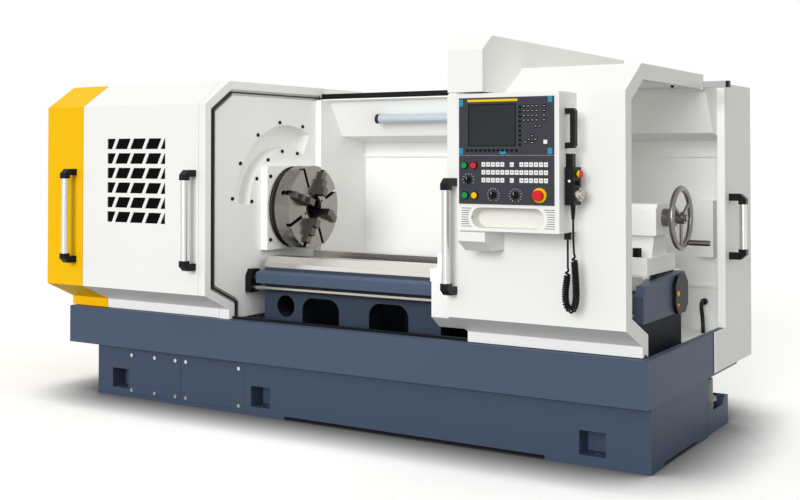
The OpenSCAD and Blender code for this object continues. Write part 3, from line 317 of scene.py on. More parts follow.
@dataclass(frozen=True)
class Hollow(Zone):
    """A zone that also stays inside a radius round an axis along X.

    Args:
        centre: Y and Z of the axis.
        radius: Radius that the zone stays inside.
    """

    centre: Pair = (0.0, 0.0)
    radius: float = 1.0

    def mask(self, graph: Graph) -> Operand:
        """Gives 1 inside the box and the radius, and 0 elsewhere."""
        return (graph.radius(self.centre) < self.radius) * super().mask(graph)


@dataclass(frozen=True)
class Grain:
    """The fine unevenness of a surface.

    Args:
        pitch: Spots per metre along X, Y and Z.
        spread: How much the fine spots change the tone.
        depth: How deep the fine spots are, in metres.
        cloud: How much the tone drifts across a whole panel.
    """

    pitch: Point
    spread: float
    depth: float
    cloud: float = 0.03


PEEL = Grain((420.0, 420.0, 420.0), 0.012, 0.00004)
CAST = Grain((260.0, 260.0, 260.0), 0.05, 0.00012, 0.06)
MOULDED = Grain((1500.0, 1500.0, 1500.0), 0.05, 0.00003)
GROUND_X = Grain((6.0, 900.0, 900.0), 0.10, 0.00002, 0.10)
GROUND_Z = Grain((900.0, 900.0, 6.0), 0.10, 0.00002, 0.10)
SMOOTH = Grain((60.0, 60.0, 60.0), 0.03, 0.0)


@dataclass(frozen=True)
class Finish:
    """A procedural material: one coat, its grain and the zones that other coats take.

    Args:
        name: The material's name.
        coat: The coat of the piece itself.
        grain: The fine unevenness of that coat.
        zones: Boxes with another coat, the later ones on top.
        shine: Strength of the clear reflection on paint and plastic.
    """

    name: str
    coat: Coat
    grain: Grain = PEEL
    zones: Tuple[Zone, ...] = ()
    shine: float = 0.15

    def spots(self, graph: Graph) -> Val:
        """Gives the fine unevenness, about 0.5 on average."""
        return graph.noise(self.grain.pitch, 2.0)

    def build(self) -> bpy.types.Material:
        """Makes the material.

        Returns:
            The material, ready for a piece.
        """
        material = bpy.data.materials.new(self.name)
        graph = Graph(material)
        spots = self.spots(graph)
        cloud = graph.noise((1.7, 1.7, 1.7), 1.0)
        tone = 1.0 + (spots - 0.5) * self.grain.spread + (cloud - 0.5) * self.grain.cloud
        scale = {"operation": "SCALE"}
        colour = graph.node("ShaderNodeVectorMath", scale, {0: self.coat.colour, "Scale": tone}).outputs[0]
        rough: Operand = (spots - 0.5) * 0.1 + self.coat.rough
        metal: Operand = self.coat.metal
        for zone in self.zones:
            mask = zone.mask(graph)
            colour = graph.mix(mask, colour, zone.coat.colour)
            rough = rough + mask * (zone.coat.rough - rough)
            metal = metal + mask * (zone.coat.metal - metal)
        sockets = {"Base Color": colour, "Roughness": rough, "Metallic": metal}
        sockets["Specular IOR Level"] = self.shine
        if self.grain.depth > 0.0:
            sockets["Normal"] = graph.bump(spots, self.grain.depth)
        graph.surface(graph.node("ShaderNodeBsdfPrincipled", None, sockets).outputs[0])
        return material


@dataclass(frozen=True)
class TurnedFinish(Finish):
    """A finish with the fine rings that a lathe tool leaves round an axis along X.

    Args:
        centre: Y and Z of the axis.
    """

    centre: Pair = (0.0, 0.0)

    def spots(self, graph: Graph) -> Val:
        """Gives rings round the axis, about 0.5 on average.

        Args:
            graph: The material under construction.

        Returns:
            The rings' value.
        """
        fill = {"W": graph.radius(self.centre) * self.grain.pitch[0], "Scale": 1.0, "Detail": 2.0}
        made = graph.node("ShaderNodeTexNoise", {"noise_dimensions": "1D"}, fill)
        return Val(graph, made.outputs[0])


WHITE = Coat(srgb(247, 247, 244), 0.42)
YELLOW = Coat(srgb(252, 196, 2), 0.5)
SLATE = Coat(srgb(75, 88, 109), 0.45)
# Painted shade: a darker copy of SLATE for the base and its covers, which stand in shade under the chip tray.
SHADED_SLATE = Coat(srgb(65, 78, 98), 0.45)
BLACK = Coat(srgb(15, 15, 17), 0.42)
SATIN_BLACK = Coat(srgb(20, 20, 23), 0.36)
ALUMINIUM = Coat(srgb(216, 216, 217), 0.22, 1.0)
STEEL = Coat(srgb(188, 184, 178), 0.28, 1.0)
DARK_STEEL = Coat(srgb(128, 124, 120), 0.30, 1.0)
IRON = Coat(srgb(152, 148, 143), 0.26, 1.0)
SHADOW = Coat(srgb(7, 7, 8), 0.7)
PANEL_GREY = Coat(srgb(66, 67, 74), 0.5)
KEY_WHITE = Coat(srgb(244, 244, 242), 0.4)
ORANGE = Coat(srgb(245, 160, 30), 0.4)
RAIL_GREY = Coat(srgb(176, 178, 180), 0.4)
KEY_BLACK = Coat(srgb(6, 6, 7), 0.45)
COLLAR_YELLOW = Coat(srgb(246, 200, 20), 0.4)
# Painted shade: a darker white for the inside of the control box's hand hold.
SHADED_WHITE = Coat(srgb(235, 234, 228), 0.42)
# Painted shade: a dark grey for the inside of the control box's louvre slots.
SLOT_SHADE_GREY = Coat(srgb(74, 74, 72), 0.6)


def link(piece: bpy.types.Object) -> bpy.types.Object:
    """Puts a new object into the scene and hands it back."""
    bpy.context.scene.collection.objects.link(piece)
    return piece


class Mesher:
    """Gathers shapes in one bmesh and makes a piece of them."""

    def __init__(self) -> None:
        """Starts with an empty bmesh."""
        self.bm = bmesh.new()

    def soften(self, edges: Iterable[bmesh.types.BMEdge], width: float) -> None:
        """Rounds edges over.

        Args:
            edges: The edges to round.
            width: Width of the round.
        """
        bmesh.ops.bevel(
            self.bm, geom=list(edges), offset=width, offset_type="OFFSET", segments=2, profile=0.5,
            affect="EDGES", material=-1,
        )

    def block(self, low: Point, high: Point, edge: float = 0.0) -> None:
        """Adds a block, rounded where an edge width is given.

        Args:
            low: Lowest corner.
            high: Highest corner.
            edge: Width of the rounded edges.
        """
        size = Vector(high) - Vector(low)
        place = Matrix.Translation((Vector(low) + Vector(high)) * 0.5) @ Matrix.Diagonal((*size, 1.0))
        made = bmesh.ops.create_cube(self.bm, size=1.0, matrix=place)["verts"]
        if edge > 0.0:
            self.soften({e for v in made for e in v.link_edges}, edge)

    def drum(self, centre: Point, radius: float, height: float, edge: float, sides: int = 16) -> None:
        """Adds a round drum along Y, with rounded ends.

        Args:
            centre: Middle of the drum.
            radius: Its radius.
            height: Its length.
            edge: Width of the rounded edges.
            sides: Number of sides.
        """
        laid = Matrix.Translation(centre) @ Matrix.Rotation(math.radians(90.0), 4, "X")
        made = bmesh.ops.create_cone(
            self.bm, cap_ends=True, cap_tris=False, segments=sides, radius1=radius, radius2=radius,
            depth=height, matrix=laid,
        )["verts"]
        rims = {e for v in made for e in v.link_edges if any(len(f.verts) > 4 for f in e.link_faces)}
        self.soften(rims, edge)

    def spoke(
        self, centre: Point, angle: float, inner: float, outer: float, width: float, depth: float
    ) -> None:
        """Adds a small bar on a face that looks along -Y, standing out from a centre.

        Args:
            centre: Centre that the bar points at, on the bar's back face.
            angle: Angle clockwise from straight up, in degrees.
            inner: Distance of its near end.
            outer: Distance of its far end.
            width: Its width.
            depth: How far it stands proud.
        """
        size = Matrix.Diagonal((width, depth, outer - inner, 1.0))
        out = Matrix.Translation((0.0, -depth * 0.5, (inner + outer) * 0.5))
        turn = Matrix.Rotation(math.radians(angle), 4, "Y")
        bmesh.ops.create_cube(self.bm, size=1.0, matrix=Matrix.Translation(centre) @ turn @ out @ size)

    def piece(self, name: str, finish: Finish, body: Body, slot: Slot) -> None:
        """Makes the gathered shapes one piece.

        Args:
            name: The piece's name.
            finish: Its finish.
            body: The body that it rides on.
            slot: The record's material slot; not used.
        """
        bmesh.ops.recalc_face_normals(self.bm, faces=self.bm.faces[:])
        mesh = bpy.data.meshes.new(name)
        self.bm.to_mesh(mesh)
        self.bm.free()
        made = link(bpy.data.objects.new(name, mesh))
        mesh.materials.append(finish.build())
        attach(made, body.value)
        log.info("piece %s: %d faces", name, len(mesh.polygons))


class Assembly:
    """A group of frame nodes that are dressed together, with the pieces modelled on them."""

    def finishes(self) -> Dict[str, Finish]:
        """Gives the finish of each frame node of the group."""
        return {}

    def build(self) -> None:
        """Models the group's own pieces, if it has any."""

    def dress(self) -> None:
        """Puts the finishes on the frame's nodes."""
        made: Dict[Finish, bpy.types.Material] = {}
        for name, finish in self.finishes().items():
            material = made.get(finish) or finish.build()
            made[finish] = material
            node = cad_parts[name]
            if not node.material_slots:
                node.data.materials.append(None)
            for slot in node.material_slots:
                slot.link = "OBJECT"
                slot.material = material
            log.info("finish %s on %s", finish.name, name)


@dataclass
class Studio:
    """Camera, light and floor.

    Args:
        eye: Place of the camera.
        tilt: Turn about X, in degrees.
        heading: Turn about Z, in degrees.
        lens: Focal length in millimetres on a sensor 36 mm wide.
        shift: Vertical shift of the picture.
        ambient: Strength of the even light.
        ambient_tint: Colour of the even light, a little warm.
        key: Strength of the soft sun.
        key_tint: Colour of the soft sun, a little cool.
        key_from: Direction that the sun shines from.
        key_spread: Angle that the sun fills, in degrees.
        fills: Place, aim and power of each soft lamp that lights the work space.
        fill_side: Side of each soft lamp.
        floor_half: Half the floor's side.
        floor_tones: The two pale greys that the floor drifts between.
        floor_bounce: Grey of the light that the floor throws back.
        floor_glow: Light that the floor adds, so that it meets the backdrop.
        contact_reach: Distance from the machine over which the painted contact shadow darkens the floor.
        contact_tone: The floor's grey in its painted contact shadow, where the machine stands on it.
    """

    eye: Point = (3.6319, -4.7372, 1.2258)
    tilt: float = 91.1
    heading: float = 31.9
    lens: float = 52.245
    shift: float = -0.1469
    ambient: float = 0.66
    ambient_tint: Point = (1.0, 0.993, 0.950)
    key: float = 1.85
    key_tint: Point = (0.962, 0.968, 1.0)
    key_from: Point = (0.13, -0.94, 0.25)
    key_spread: float = 28.0
    fills: Tuple[Tuple[Point, Point, float], ...] = (
        ((1.75, -0.40, 1.12), (1.70, 0.20, 0.80), 1.1),
        ((1.12, -0.50, 1.25), (0.00, -0.20, 0.85), 3.2),
    )
    fill_side: float = 0.5
    floor_half: float = 30.0
    floor_tones: Pair = (0.97, 0.99)
    floor_bounce: float = 0.26
    floor_glow: float = 0.27
    contact_reach: float = 0.38
    contact_tone: float = 0.08

    def camera(self) -> None:
        """Sets the camera up."""
        data = bpy.data.cameras.new("camera")
        data.sensor_width = 36.0
        data.lens = self.lens
        data.shift_y = self.shift
        data.clip_end = 200.0
        made = link(bpy.data.objects.new("camera", data))
        made.location = self.eye
        made.rotation_euler = (math.radians(self.tilt), 0.0, math.radians(self.heading))
        bpy.context.scene.camera = made

    def light(self) -> None:
        """Sets an even room light, a white backdrop, one soft sun and the soft lamps."""
        scene = bpy.context.scene
        scene.view_settings.view_transform = "Standard"
        scene.world = bpy.data.worlds.new("studio")
        graph = Graph(scene.world)
        seen = self.seen(graph)
        tint = (*self.ambient_tint, 1.0)
        room = graph.node("ShaderNodeBackground", None, {"Strength": self.ambient, "Color": tint})
        backdrop = graph.node("ShaderNodeBackground", None, {"Strength": 1.0, "Color": (1.0, 1.0, 1.0, 1.0)})
        mixed = graph.node("ShaderNodeMixShader", None, {0: seen, 1: room.outputs[0], 2: backdrop.outputs[0]})
        graph.surface(mixed.outputs[0], "ShaderNodeOutputWorld")
        sun = bpy.data.lights.new("key", "SUN")
        sun.energy = self.key
        sun.color = self.key_tint
        sun.angle = math.radians(self.key_spread)
        made = link(bpy.data.objects.new("key", sun))
        made.rotation_euler = Vector(self.key_from).to_track_quat("Z", "Y").to_euler()
        for place, aim, power in self.fills:
            self.fill(place, aim, power)

    @staticmethod
    def seen(graph: Graph) -> Operand:
        """Gives 1 for rays that show the background, straight, by reflection or through glass.

        Args:
            graph: The material or world under construction.

        Returns:
            The mask.
        """
        rays = graph.node("ShaderNodeLightPath").outputs
        straight, glossy = Val(graph, rays["Is Camera Ray"]), Val(graph, rays["Is Glossy Ray"])
        return straight | glossy | Val(graph, rays["Is Transmission Ray"])

    def fill(self, place: Point, aim: Point, power: float) -> None:
        """Hangs a soft square lamp that the camera does not see.

        Args:
            place: Its place.
            aim: Point that it faces.
            power: Its power in watts.
        """
        lamp = bpy.data.lights.new("fill", "AREA")
        lamp.energy = power
        lamp.size = self.fill_side
        made = link(bpy.data.objects.new("fill", lamp))
        made.location = place
        made.rotation_euler = (Vector(place) - Vector(aim)).to_track_quat("Z", "Y").to_euler()
        made.visible_camera = False
        made.visible_glossy = False

    def floor(self) -> None:
        """Lays a pale floor that keeps the machine's soft shadow, and paints a contact shadow near the
        machine with an occlusion term.
        """
        bm = bmesh.new()
        bmesh.ops.create_grid(bm, x_segments=1, y_segments=1, size=self.floor_half)
        mesh = bpy.data.meshes.new("floor")
        bm.to_mesh(mesh)
        bm.free()
        made = link(bpy.data.objects.new("floor", mesh))
        material = bpy.data.materials.new("pale_floor")
        graph = Graph(material)
        soft = graph.noise((3.0, 3.0, 3.0), 1.0)
        seen = self.seen(graph)
        pale = graph.mix(soft, *(grey(tone) for tone in self.floor_tones))
        # Painted shadow: an occlusion term darkens the floor's colour and glow near the machine.
        reach = {"Distance": self.contact_reach}
        free = Val(graph, graph.node("ShaderNodeAmbientOcclusion", None, reach).outputs["AO"])
        clear = free * free * free
        shaded = graph.mix(clear, grey(self.contact_tone), pale)
        colour = graph.mix(seen, grey(self.floor_bounce), shaded)
        glow = graph.mix(seen * clear, grey(0.0), grey(1.0))
        sockets = {"Base Color": colour, "Roughness": 0.9, "Specular IOR Level": 0.0}
        sockets |= {"Emission Color": glow, "Emission Strength": self.floor_glow}
        graph.surface(graph.node("ShaderNodeBsdfPrincipled", None, sockets).outputs[0])
        mesh.materials.append(material)

    def build(self) -> None:
        """Sets the whole studio up."""
        self.camera()
        self.light()
        self.floor()
        log.info("studio set")


def handle_zones(face: float, bar: Bound) -> Tuple[Zone, ...]:
    """Gives the zones of a pull handle in front of a door: black elbows and an aluminium bar.

    Args:
        face: Y of the door's outer face.
        bar: Lowest and highest Z of the bar.

    Returns:
        The two zones.
    """
    front: Bound = (None, face - SKIN)
    return (Zone(SATIN_BLACK, y=front), Zone(ALUMINIUM, y=front, z=bar))


@dataclass
class Cabinet(Assembly):
    """The sheet-metal covers, doors and hood.

    Args:
        front: Y of the covers' front face.
        end: X of the end door's outer face.
        cover_bar: Lowest and highest Z of the handle bars on the two front covers.
        hood_bar: Lowest and highest Z of the hood's handle bar.
        end_bar: Lowest and highest Z of the end door's handle bar.
        lamp_tube: Lowest and highest X of the lamp's bare tube.
        conduit_top: Height below which the wall's fittings are black.
        rail_low: Height above which the top rail runs.
        rail_coats: X from which the top rail takes each coat.
        bolts: Places of the bolts in the hood's back flange.
    """

    front: float = -0.620
    end: float = 2.099
    cover_bar: Bound = (0.733, 1.107)
    hood_bar: Bound = (0.710, 1.084)
    end_bar: Bound = (0.796, 1.000)
    lamp_tube: Pair = (0.343, 1.025)
    conduit_top: float = 0.70
    rail_low: float = 1.5
    rail_coats: Tuple[Tuple[float, Coat], ...] = ((1.35, WHITE), (2.06, RAIL_GREY), (2.165, SATIN_BLACK))
    bolts: Tuple[Point, ...] = ((1.931, 0.292, 1.532), (1.991, 0.292, 1.532))

    def finishes(self) -> Dict[str, Finish]:
        """Gives the finish of each cover.

        Returns:
            The finishes by node.
        """
        white = Finish("white_powder_coat", WHITE)
        bars = handle_zones(self.front, self.cover_bar)
        beyond: Bound = (self.end + SKIN, None)
        end_zones = (Zone(SATIN_BLACK, x=beyond), Zone(ALUMINIUM, x=beyond, z=self.end_bar))
        left, right = self.lamp_tube
        lamp_ends = (Zone(SATIN_BLACK, x=(None, left)), Zone(SATIN_BLACK, x=(right, None)))
        fittings = (Zone(SATIN_BLACK, z=(None, self.conduit_top)),)
        high: Bound = (self.rail_low, None)
        rail = tuple(Zone(coat, x=(start, None), z=high) for start, coat in self.rail_coats)
        return {
            "headstock_wall": white,
            "rear_guard": white,
            "overhead_arm": white,
            "headstock_door": Finish("white_door", WHITE, PEEL, bars),
            "end_cover": Finish("yellow_powder_coat", YELLOW, PEEL, bars, 0.12),
            "hood": Finish("white_hood", WHITE, PEEL, handle_zones(self.front, self.hood_bar)),
            "end_door": Finish("white_end_door", WHITE, PEEL, end_zones),
            # The grille's mesh is a dark part, and its near-black coat also paints the shade in the grille's
            # openings.
            "grille_screen": Finish("black_mesh_and_shade", SHADOW, MOULDED, (), 0.04),
            "wall_seal": Finish("seal_rubber", Coat(srgb(46, 45, 43), 0.5), MOULDED),
            "door_rails": Finish("black_rail", SATIN_BLACK, GROUND_X, rail),
            "work_lamp": Finish("lamp_tube", Coat(srgb(188, 202, 210), 0.2), SMOOTH, lamp_ends, 0.4),
            "wall_fittings": Finish("switch_box", WHITE, PEEL, fittings),
        }

    def build(self) -> None:
        """Models the bolts in the hood's back flange."""
        heads = Mesher()
        for place in self.bolts:
            heads.drum(place, 0.0075, 0.006, 0.001)
        heads.piece("rail_bolts", Finish("rail_bolt_black", BLACK, SMOOTH), Body.HOOD, Slot.BLACK_METAL)


@dataclass
class Bed(Assembly):
    """The base, the chip tray, the bed and what runs along it.

    Args:
        way_low: Height above which the bed is bare ground steel.
        well_half: Half the width of the bed's inside, which takes painted shade.
        well_top: Height up to which that inside takes painted shade.
        plugs_from: X from which the drive's lid shows its plugs.
        black_from: Height above which the bolts are black.
    """

    way_low: float = 0.677
    well_half: float = 0.2485
    well_top: float = 0.673
    plugs_from: float = 2.0365
    black_from: float = 0.45

    def finishes(self) -> Dict[str, Finish]:
        """Gives the finish of each piece.

        Returns:
            The finishes by node.
        """
        slate = Finish("slate_paint", SLATE)
        # The base and its covers take the darker slate, which paints their shade.
        shaded_slate = Finish("base_paint_and_shade", SHADED_SLATE)
        steel = Finish("ground_steel", STEEL, GROUND_X)
        within: Bound = (-self.well_half, self.well_half)
        well_shade_and_ways = (
            # Painted shade: the faces inside the bed's windows are near black.
            Zone(Coat(srgb(22, 26, 33), 0.6), y=within, z=(None, self.well_top)),
            Zone(Coat(srgb(224, 219, 214), 0.24, 1.0), z=(self.way_low, None)),
        )
        plugs = (Zone(ORANGE, x=(self.plugs_from, None)),)
        black_bolts = (Zone(BLACK, z=(self.black_from, None)),)
        return {
            "base": shaded_slate,
            "access_covers": shaded_slate,
            "chip_tray": slate,
            "screw_cover": slate,
            "axis_drive": slate,
            "coolant_tank": slate,
            # The bed's slate is darker than the tray's: painted shade for the bed, which stands in shade.
            "bed": Finish("bed_casting", Coat(srgb(58, 68, 84), 0.45), CAST, well_shade_and_ways),
            "fasteners": Finish("zinc_bolts", Coat(srgb(208, 208, 206), 0.3, 1.0), SMOOTH, black_bolts),
            "guard_rod": steel,
            "feed_screw": steel,
            "screw_bearing": Finish("bearing_black", BLACK, CAST),
            "drive_lid": Finish("lid_black", BLACK, CAST, plugs),
            "coolant_pump": Finish("pump_grey", Coat(srgb(150, 152, 155), 0.4), CAST),
        }


@dataclass
class Headstock(Assembly):
    """The headstock, its spindle and drive, and the chuck with its jaws.

    Args:
        axis_height: Height of the spindle's axis.
        chuck_face: X of the chuck's front face.
        chuck_radius: Radius of the chuck.
        bore_radius: Radius of the painted shade round the chuck's bore, which makes the dark bore look wider.
        slot_depth: Depth under the chuck's surface from which its slots take painted shade.
        band_from: X from which the chuck's back plate is black.
    """

    axis_height: float = 0.962
    chuck_face: float = 0.172
    chuck_radius: float = 0.208
    bore_radius: float = 0.064
    slot_depth: float = 0.0006
    band_from: float = 0.0505

    def finishes(self) -> Dict[str, Finish]:
        """Gives the finish of each piece.

        Returns:
            The finishes by node.
        """
        centre = (0.0, self.axis_height)
        rings = Grain((700.0, 0.0, 0.0), 0.30, 0.00004, 0.05)
        turned = TurnedFinish("turned_steel", STEEL, rings, (), 0.3, centre)
        jaw = Finish("jaw_steel", Coat(srgb(108, 105, 101), 0.34, 1.0), GROUND_X)
        motor = Finish("motor_grey", Coat(srgb(86, 90, 95), 0.45), CAST)
        # Painted shade: the faces inside the chuck's slots are near black.
        under: Bound = (None, self.chuck_face - self.slot_depth)
        slots = Hollow(SHADOW, under, centre=centre, radius=self.chuck_radius - self.slot_depth)
        # Painted shade: the chuck's face round its bore is near black, as a wider dark bore.
        bore = Hollow(SHADOW, centre=centre, radius=self.bore_radius)
        body = TurnedFinish("turned_chuck", IRON, rings, (slots, bore), 0.3, centre)
        band = Zone(BLACK, (self.band_from, None))
        return {
            "headstock": Finish("headstock_white", WHITE, CAST),
            "spindle": turned,
            "spindle_bearings": turned,
            "chuck_plate": TurnedFinish("turned_plate", STEEL, rings, (band,), 0.3, centre),
            "chuck_body": body,
            **{f"jaw_{number}": jaw for number in range(1, 5)},
            "main_motor": motor,
            "motor_pulley": motor,
            "drive_belt": Finish("belt_rubber", BLACK, MOULDED),
        }


@dataclass
class Slides(Assembly):
    """The carriage with its turret, and the tailstock with its handwheel.

    Args:
        clamp: Lowest and highest X, Y and Z of the tailstock's clamp.
        boss_from: X from which the tailstock shows its bare boss.
    """

    clamp: Tuple[Bound, Bound, Bound] = ((1.89, 1.95), (None, -0.11), (0.802, 0.845))
    boss_from: float = 1.9905

    def finishes(self) -> Dict[str, Finish]:
        """Gives the finish of each piece.

        Returns:
            The finishes by node.
        """
        white = Finish("slide_white", WHITE, CAST)
        wheel = Finish("wheel_steel", DARK_STEEL, SMOOTH)
        clamp = Zone(BLACK, *self.clamp)
        boss = Zone(DARK_STEEL, (self.boss_from, None))
        return {
            "carriage": white,
            "apron": white,
            "cross_slide": white,
            "tailstock": Finish("tailstock_white", WHITE, CAST, (clamp, boss)),
            "tool_turret": Finish("turret_steel", DARK_STEEL, GROUND_Z),
            "quill": Finish("quill_steel", STEEL, GROUND_X),
            "handwheel": wheel,
            "crank_grip": wheel,
        }


@dataclass
class ControlStation(Assembly):
    """The control box with its screen, keys, knobs and buttons.

    Args:
        face: Y of the operating plates' front.
        panel_zones: The plates' dark keys, white keys and stop collar.
        box_zones: The painted shade in the box's hand hold and louvres, its bow handle and its cord gland.
        screen_low: Lowest X and Z of the screen's recess.
        screen_high: Highest X and Z of the screen's recess.
        recess: Depth of the screen's recess.
        key_columns: Number of white keys in a full row.
        key_first: X of the first white key.
        key_pitch: Distance from white key to white key.
        key_rows: Z of each row of white keys.
        key_gaps: Columns that only the middle row fills.
        key_proud: How far the white keys stand out of the plates.
        blue_tabs: X, Z, width and height of each blue tab.
        strip: Lowest and highest X and Z of the yellow strip.
        cluster_first: X and Z of the upper left small key.
        cluster_pitch: Distance along X and Z from small key to small key.
        cluster_count: Small keys in each row and column.
        loose_keys: X and Z of the small keys outside the grid.
        arrows: X and Z of the middle of the four arrow keys.
        arrow_radius: Distance of the arrow keys from that middle.
        edge_keys: Lowest and highest X of the square keys at the plate's edge.
        insert: Lowest and highest X and Z of the white key under them.
        knobs: Body, X, Z, scale radius, reach in degrees and number of marks of each knob.
    """

    face: float = -0.789
    panel_zones: Tuple[Zone, ...] = (
        Zone(KEY_BLACK, y=(None, -0.7893)),
        Zone(KEY_WHITE, (1.543, 1.8223), (None, -0.7893), (1.115, 1.205)),
        Zone(COLLAR_YELLOW, (1.750, 1.826), (None, -0.7893), (1.036, 1.112)),
    )
    box_zones: Tuple[Zone, ...] = (
        # Painted shade inside the hand hold.
        Zone(SHADED_WHITE, (1.4955, 1.8025), (-0.7835, -0.722), (0.945, 1.025)),
        # Painted shade inside the left and right louvre slots.
        Zone(SLOT_SHADE_GREY, (1.450, 1.4965), (-0.7835, -0.7775), (0.940, 1.030)),
        Zone(SLOT_SHADE_GREY, (1.8015, 1.848), (-0.7835, -0.7775), (0.940, 1.030)),
        Zone(SATIN_BLACK, (1.8645, None)),
        Zone(SATIN_BLACK, (1.80, None), z=(None, 0.9325)),
    )
    screen_low: Pair = (1.484, 1.258)
    screen_high: Pair = (1.689, 1.420)
    recess: float = 0.002
    key_columns: int = 14
    key_first: float = 1.552
    key_pitch: float = 0.0201
    key_rows: Tuple[float, ...] = (1.129, 1.159, 1.189)
    key_gaps: Tuple[int, ...] = (5, 7)
    key_proud: float = 0.002
    blue_tabs: Tuple[Tuple[float, float, float, float], ...] = (
        (1.454, 1.426, 0.016, 0.026),
        (1.830, 1.433, 0.018, 0.022),
        (1.454, 1.240, 0.016, 0.024),
        (1.829, 1.240, 0.018, 0.024),
        (1.634, 1.234, 0.026, 0.012),
    )
    strip: Tuple[Pair, Pair] = ((1.482, 1.696), (1.429, 1.438))
    cluster_first: Pair = (1.724, 1.409)
    cluster_pitch: Pair = (0.0173, 0.0177)
    cluster_count: int = 4
    loose_keys: Tuple[Pair, ...] = ((1.7715, 1.333), (1.7890, 1.333), (1.7300, 1.274))
    arrows: Pair = (1.7580, 1.284)
    arrow_radius: float = 0.013
    edge_keys: Pair = (1.8000, 1.8140)
    insert: Tuple[Pair, Pair] = ((1.8035, 1.8185), (1.2665, 1.2815))
    knobs: Tuple[Tuple[Body, float, float, float, float, int], ...] = (
        (Body.MODE_KNOB, 1.486, 1.130, 0.0235, 120.0, 9),
        (Body.FEED_KNOB, 1.593, 1.073, 0.0245, 150.0, 13),
        (Body.SPEED_KNOB, 1.687, 1.073, 0.0245, 150.0, 13),
    )

    def finishes(self) -> Dict[str, Finish]:
        """Gives the finish of each piece.

        Returns:
            The finishes by node.
        """
        green = Finish("green_button", Coat(srgb(20, 150, 80), 0.25), MOULDED)
        red = Finish("red_button", Coat(srgb(222, 40, 45), 0.28), MOULDED)
        knob = Finish("knob_black", BLACK, MOULDED)
        return {
            "control_box": Finish("white_box", WHITE, PEEL, self.box_zones),
            "control_panel": Finish("panel_grey", PANEL_GREY, MOULDED, self.panel_zones, 0.08),
            "power_on": green,
            "cycle_start": green,
            "power_off": red,
            "emergency_stop": red,
            "feed_hold": Finish("yellow_button", Coat(srgb(245, 200, 20), 0.28), MOULDED),
            "mode_knob": knob,
            "feed_knob": knob,
            "speed_knob": knob,
        }

    def screen(self) -> None:
        """Models the dark screen glass in its recess, and a black rim on it, which is a dark bezel edge and
        also paints the shadow line round the recess.
        """
        shape = Mesher()
        back = self.face + self.recess
        low = (self.screen_low[0] + SKIN, back - 0.0012, self.screen_low[1] + SKIN)
        high = (self.screen_high[0] - SKIN, back, self.screen_high[1] - SKIN)
        shape.block(low, high, 0.0004)
        glass = Finish("screen_glass", Coat(srgb(44, 50, 52), 0.12), Grain((9.0, 9.0, 9.0), 0.10, 0.0, 0.3))
        shape.piece("screen_glass", glass, Body.HOOD, Slot.BLACK_SCREEN)
        # Painted shadow: the rim's near-black bars stand for the dark edge and shadow line round the screen's
        # recess.
        rim = Mesher()
        foot, head = low[2] + 0.003, high[2] - 0.0035
        for x0, x1, z0, z1 in (
            (low[0], high[0], head, high[2]),
            (low[0], high[0], low[2], foot),
            (low[0], low[0] + 0.004, foot, head),
            (high[0] - 0.004, high[0], foot, head),
        ):
            rim.block((x0, back - 0.0018, z0), (x1, back - 0.0010, z1))
        rim.piece("screen_rim", Finish("rim_black_and_shadow", SHADOW, MOULDED), Body.HOOD, Slot.BLACK_PLASTIC)

    def plate(self, shape: Mesher, across: Pair, up: Pair, proud: float, edge: float = 0.0) -> None:
        """Adds a flat block that sits in the plates' front.

        Args:
            shape: The shapes that it joins.
            across: Its lowest and highest X.
            up: Its lowest and highest Z.
            proud: How far it stands out of the plates.
            edge: Width of its rounded edges.
        """
        low = (across[0], self.face - proud, up[0])
        shape.block(low, (across[1], self.face + 0.0004, up[1]), edge)

    def tabs(self) -> None:
        """Models the pale blue corner tabs and the bare yellow strip over the screen."""
        blue = Mesher()
        for x, z, width, height in self.blue_tabs:
            self.plate(blue, (x - width / 2, x + width / 2), (z - height / 2, z + height / 2), 0.0006)
        finish = Finish("blue_tab", Coat(srgb(50, 146, 182), 0.45), MOULDED)
        blue.piece("corner_tabs", finish, Body.HOOD, Slot.PANEL)
        strip = Mesher()
        self.plate(strip, *self.strip, 0.0006)
        yellow = Finish("yellow_strip", Coat(srgb(246, 206, 20), 0.4), MOULDED)
        strip.piece("top_strip", yellow, Body.HOOD, Slot.YELLOW_PLASTIC)

    def cluster(self) -> None:
        """Models the small round keys beside the screen, and a pale mark over each."""
        keys = Mesher()
        marks = Mesher()
        lip = 0.0006
        outer, inner = self.face - 0.0022, self.face - 0.0019
        (left, top), (pitch_x, pitch_z) = self.cluster_first, self.cluster_pitch
        rows = [top - pitch_z * row for row in range(self.cluster_count)]
        places = [(left + pitch_x * column, z) for column in range(self.cluster_count) for z in rows]
        places += self.loose_keys
        for angle in (math.radians(90.0 * quarter) for quarter in range(4)):
            out = (self.arrow_radius * math.cos(angle), self.arrow_radius * math.sin(angle))
            places.append((self.arrows[0] + out[0], self.arrows[1] + out[1]))
        for x, z in places:
            keys.drum((x, self.face - 0.0009, z), 0.0062, 0.0022, lip)
            marks.block((x - 0.003, outer, z - 0.001), (x + 0.003, inner, z + 0.001))
        near, far = self.edge_keys
        for z in rows:
            self.plate(keys, self.edge_keys, (z - 0.005, z + 0.005), 0.002, lip)
            marks.block((near + 0.003, outer, z - 0.0008), (far - 0.003, inner, z + 0.0008))
        dark = Finish("cluster_black", Coat(srgb(5, 5, 6), 0.4), MOULDED, (), 0.08)
        keys.piece("cluster_keys", dark, Body.HOOD, Slot.BLACK_PLASTIC)
        pale = Finish("pale_marks", Coat(srgb(236, 236, 236), 0.5), MOULDED)
        marks.piece("cluster_marks", pale, Body.HOOD, Slot.LIGHT_GREY)
        insert = Mesher()
        self.plate(insert, *self.insert, 0.002, lip)
        insert.piece("insert_key", Finish("insert_white", KEY_WHITE, MOULDED), Body.HOOD, Slot.LIGHT_GREY)

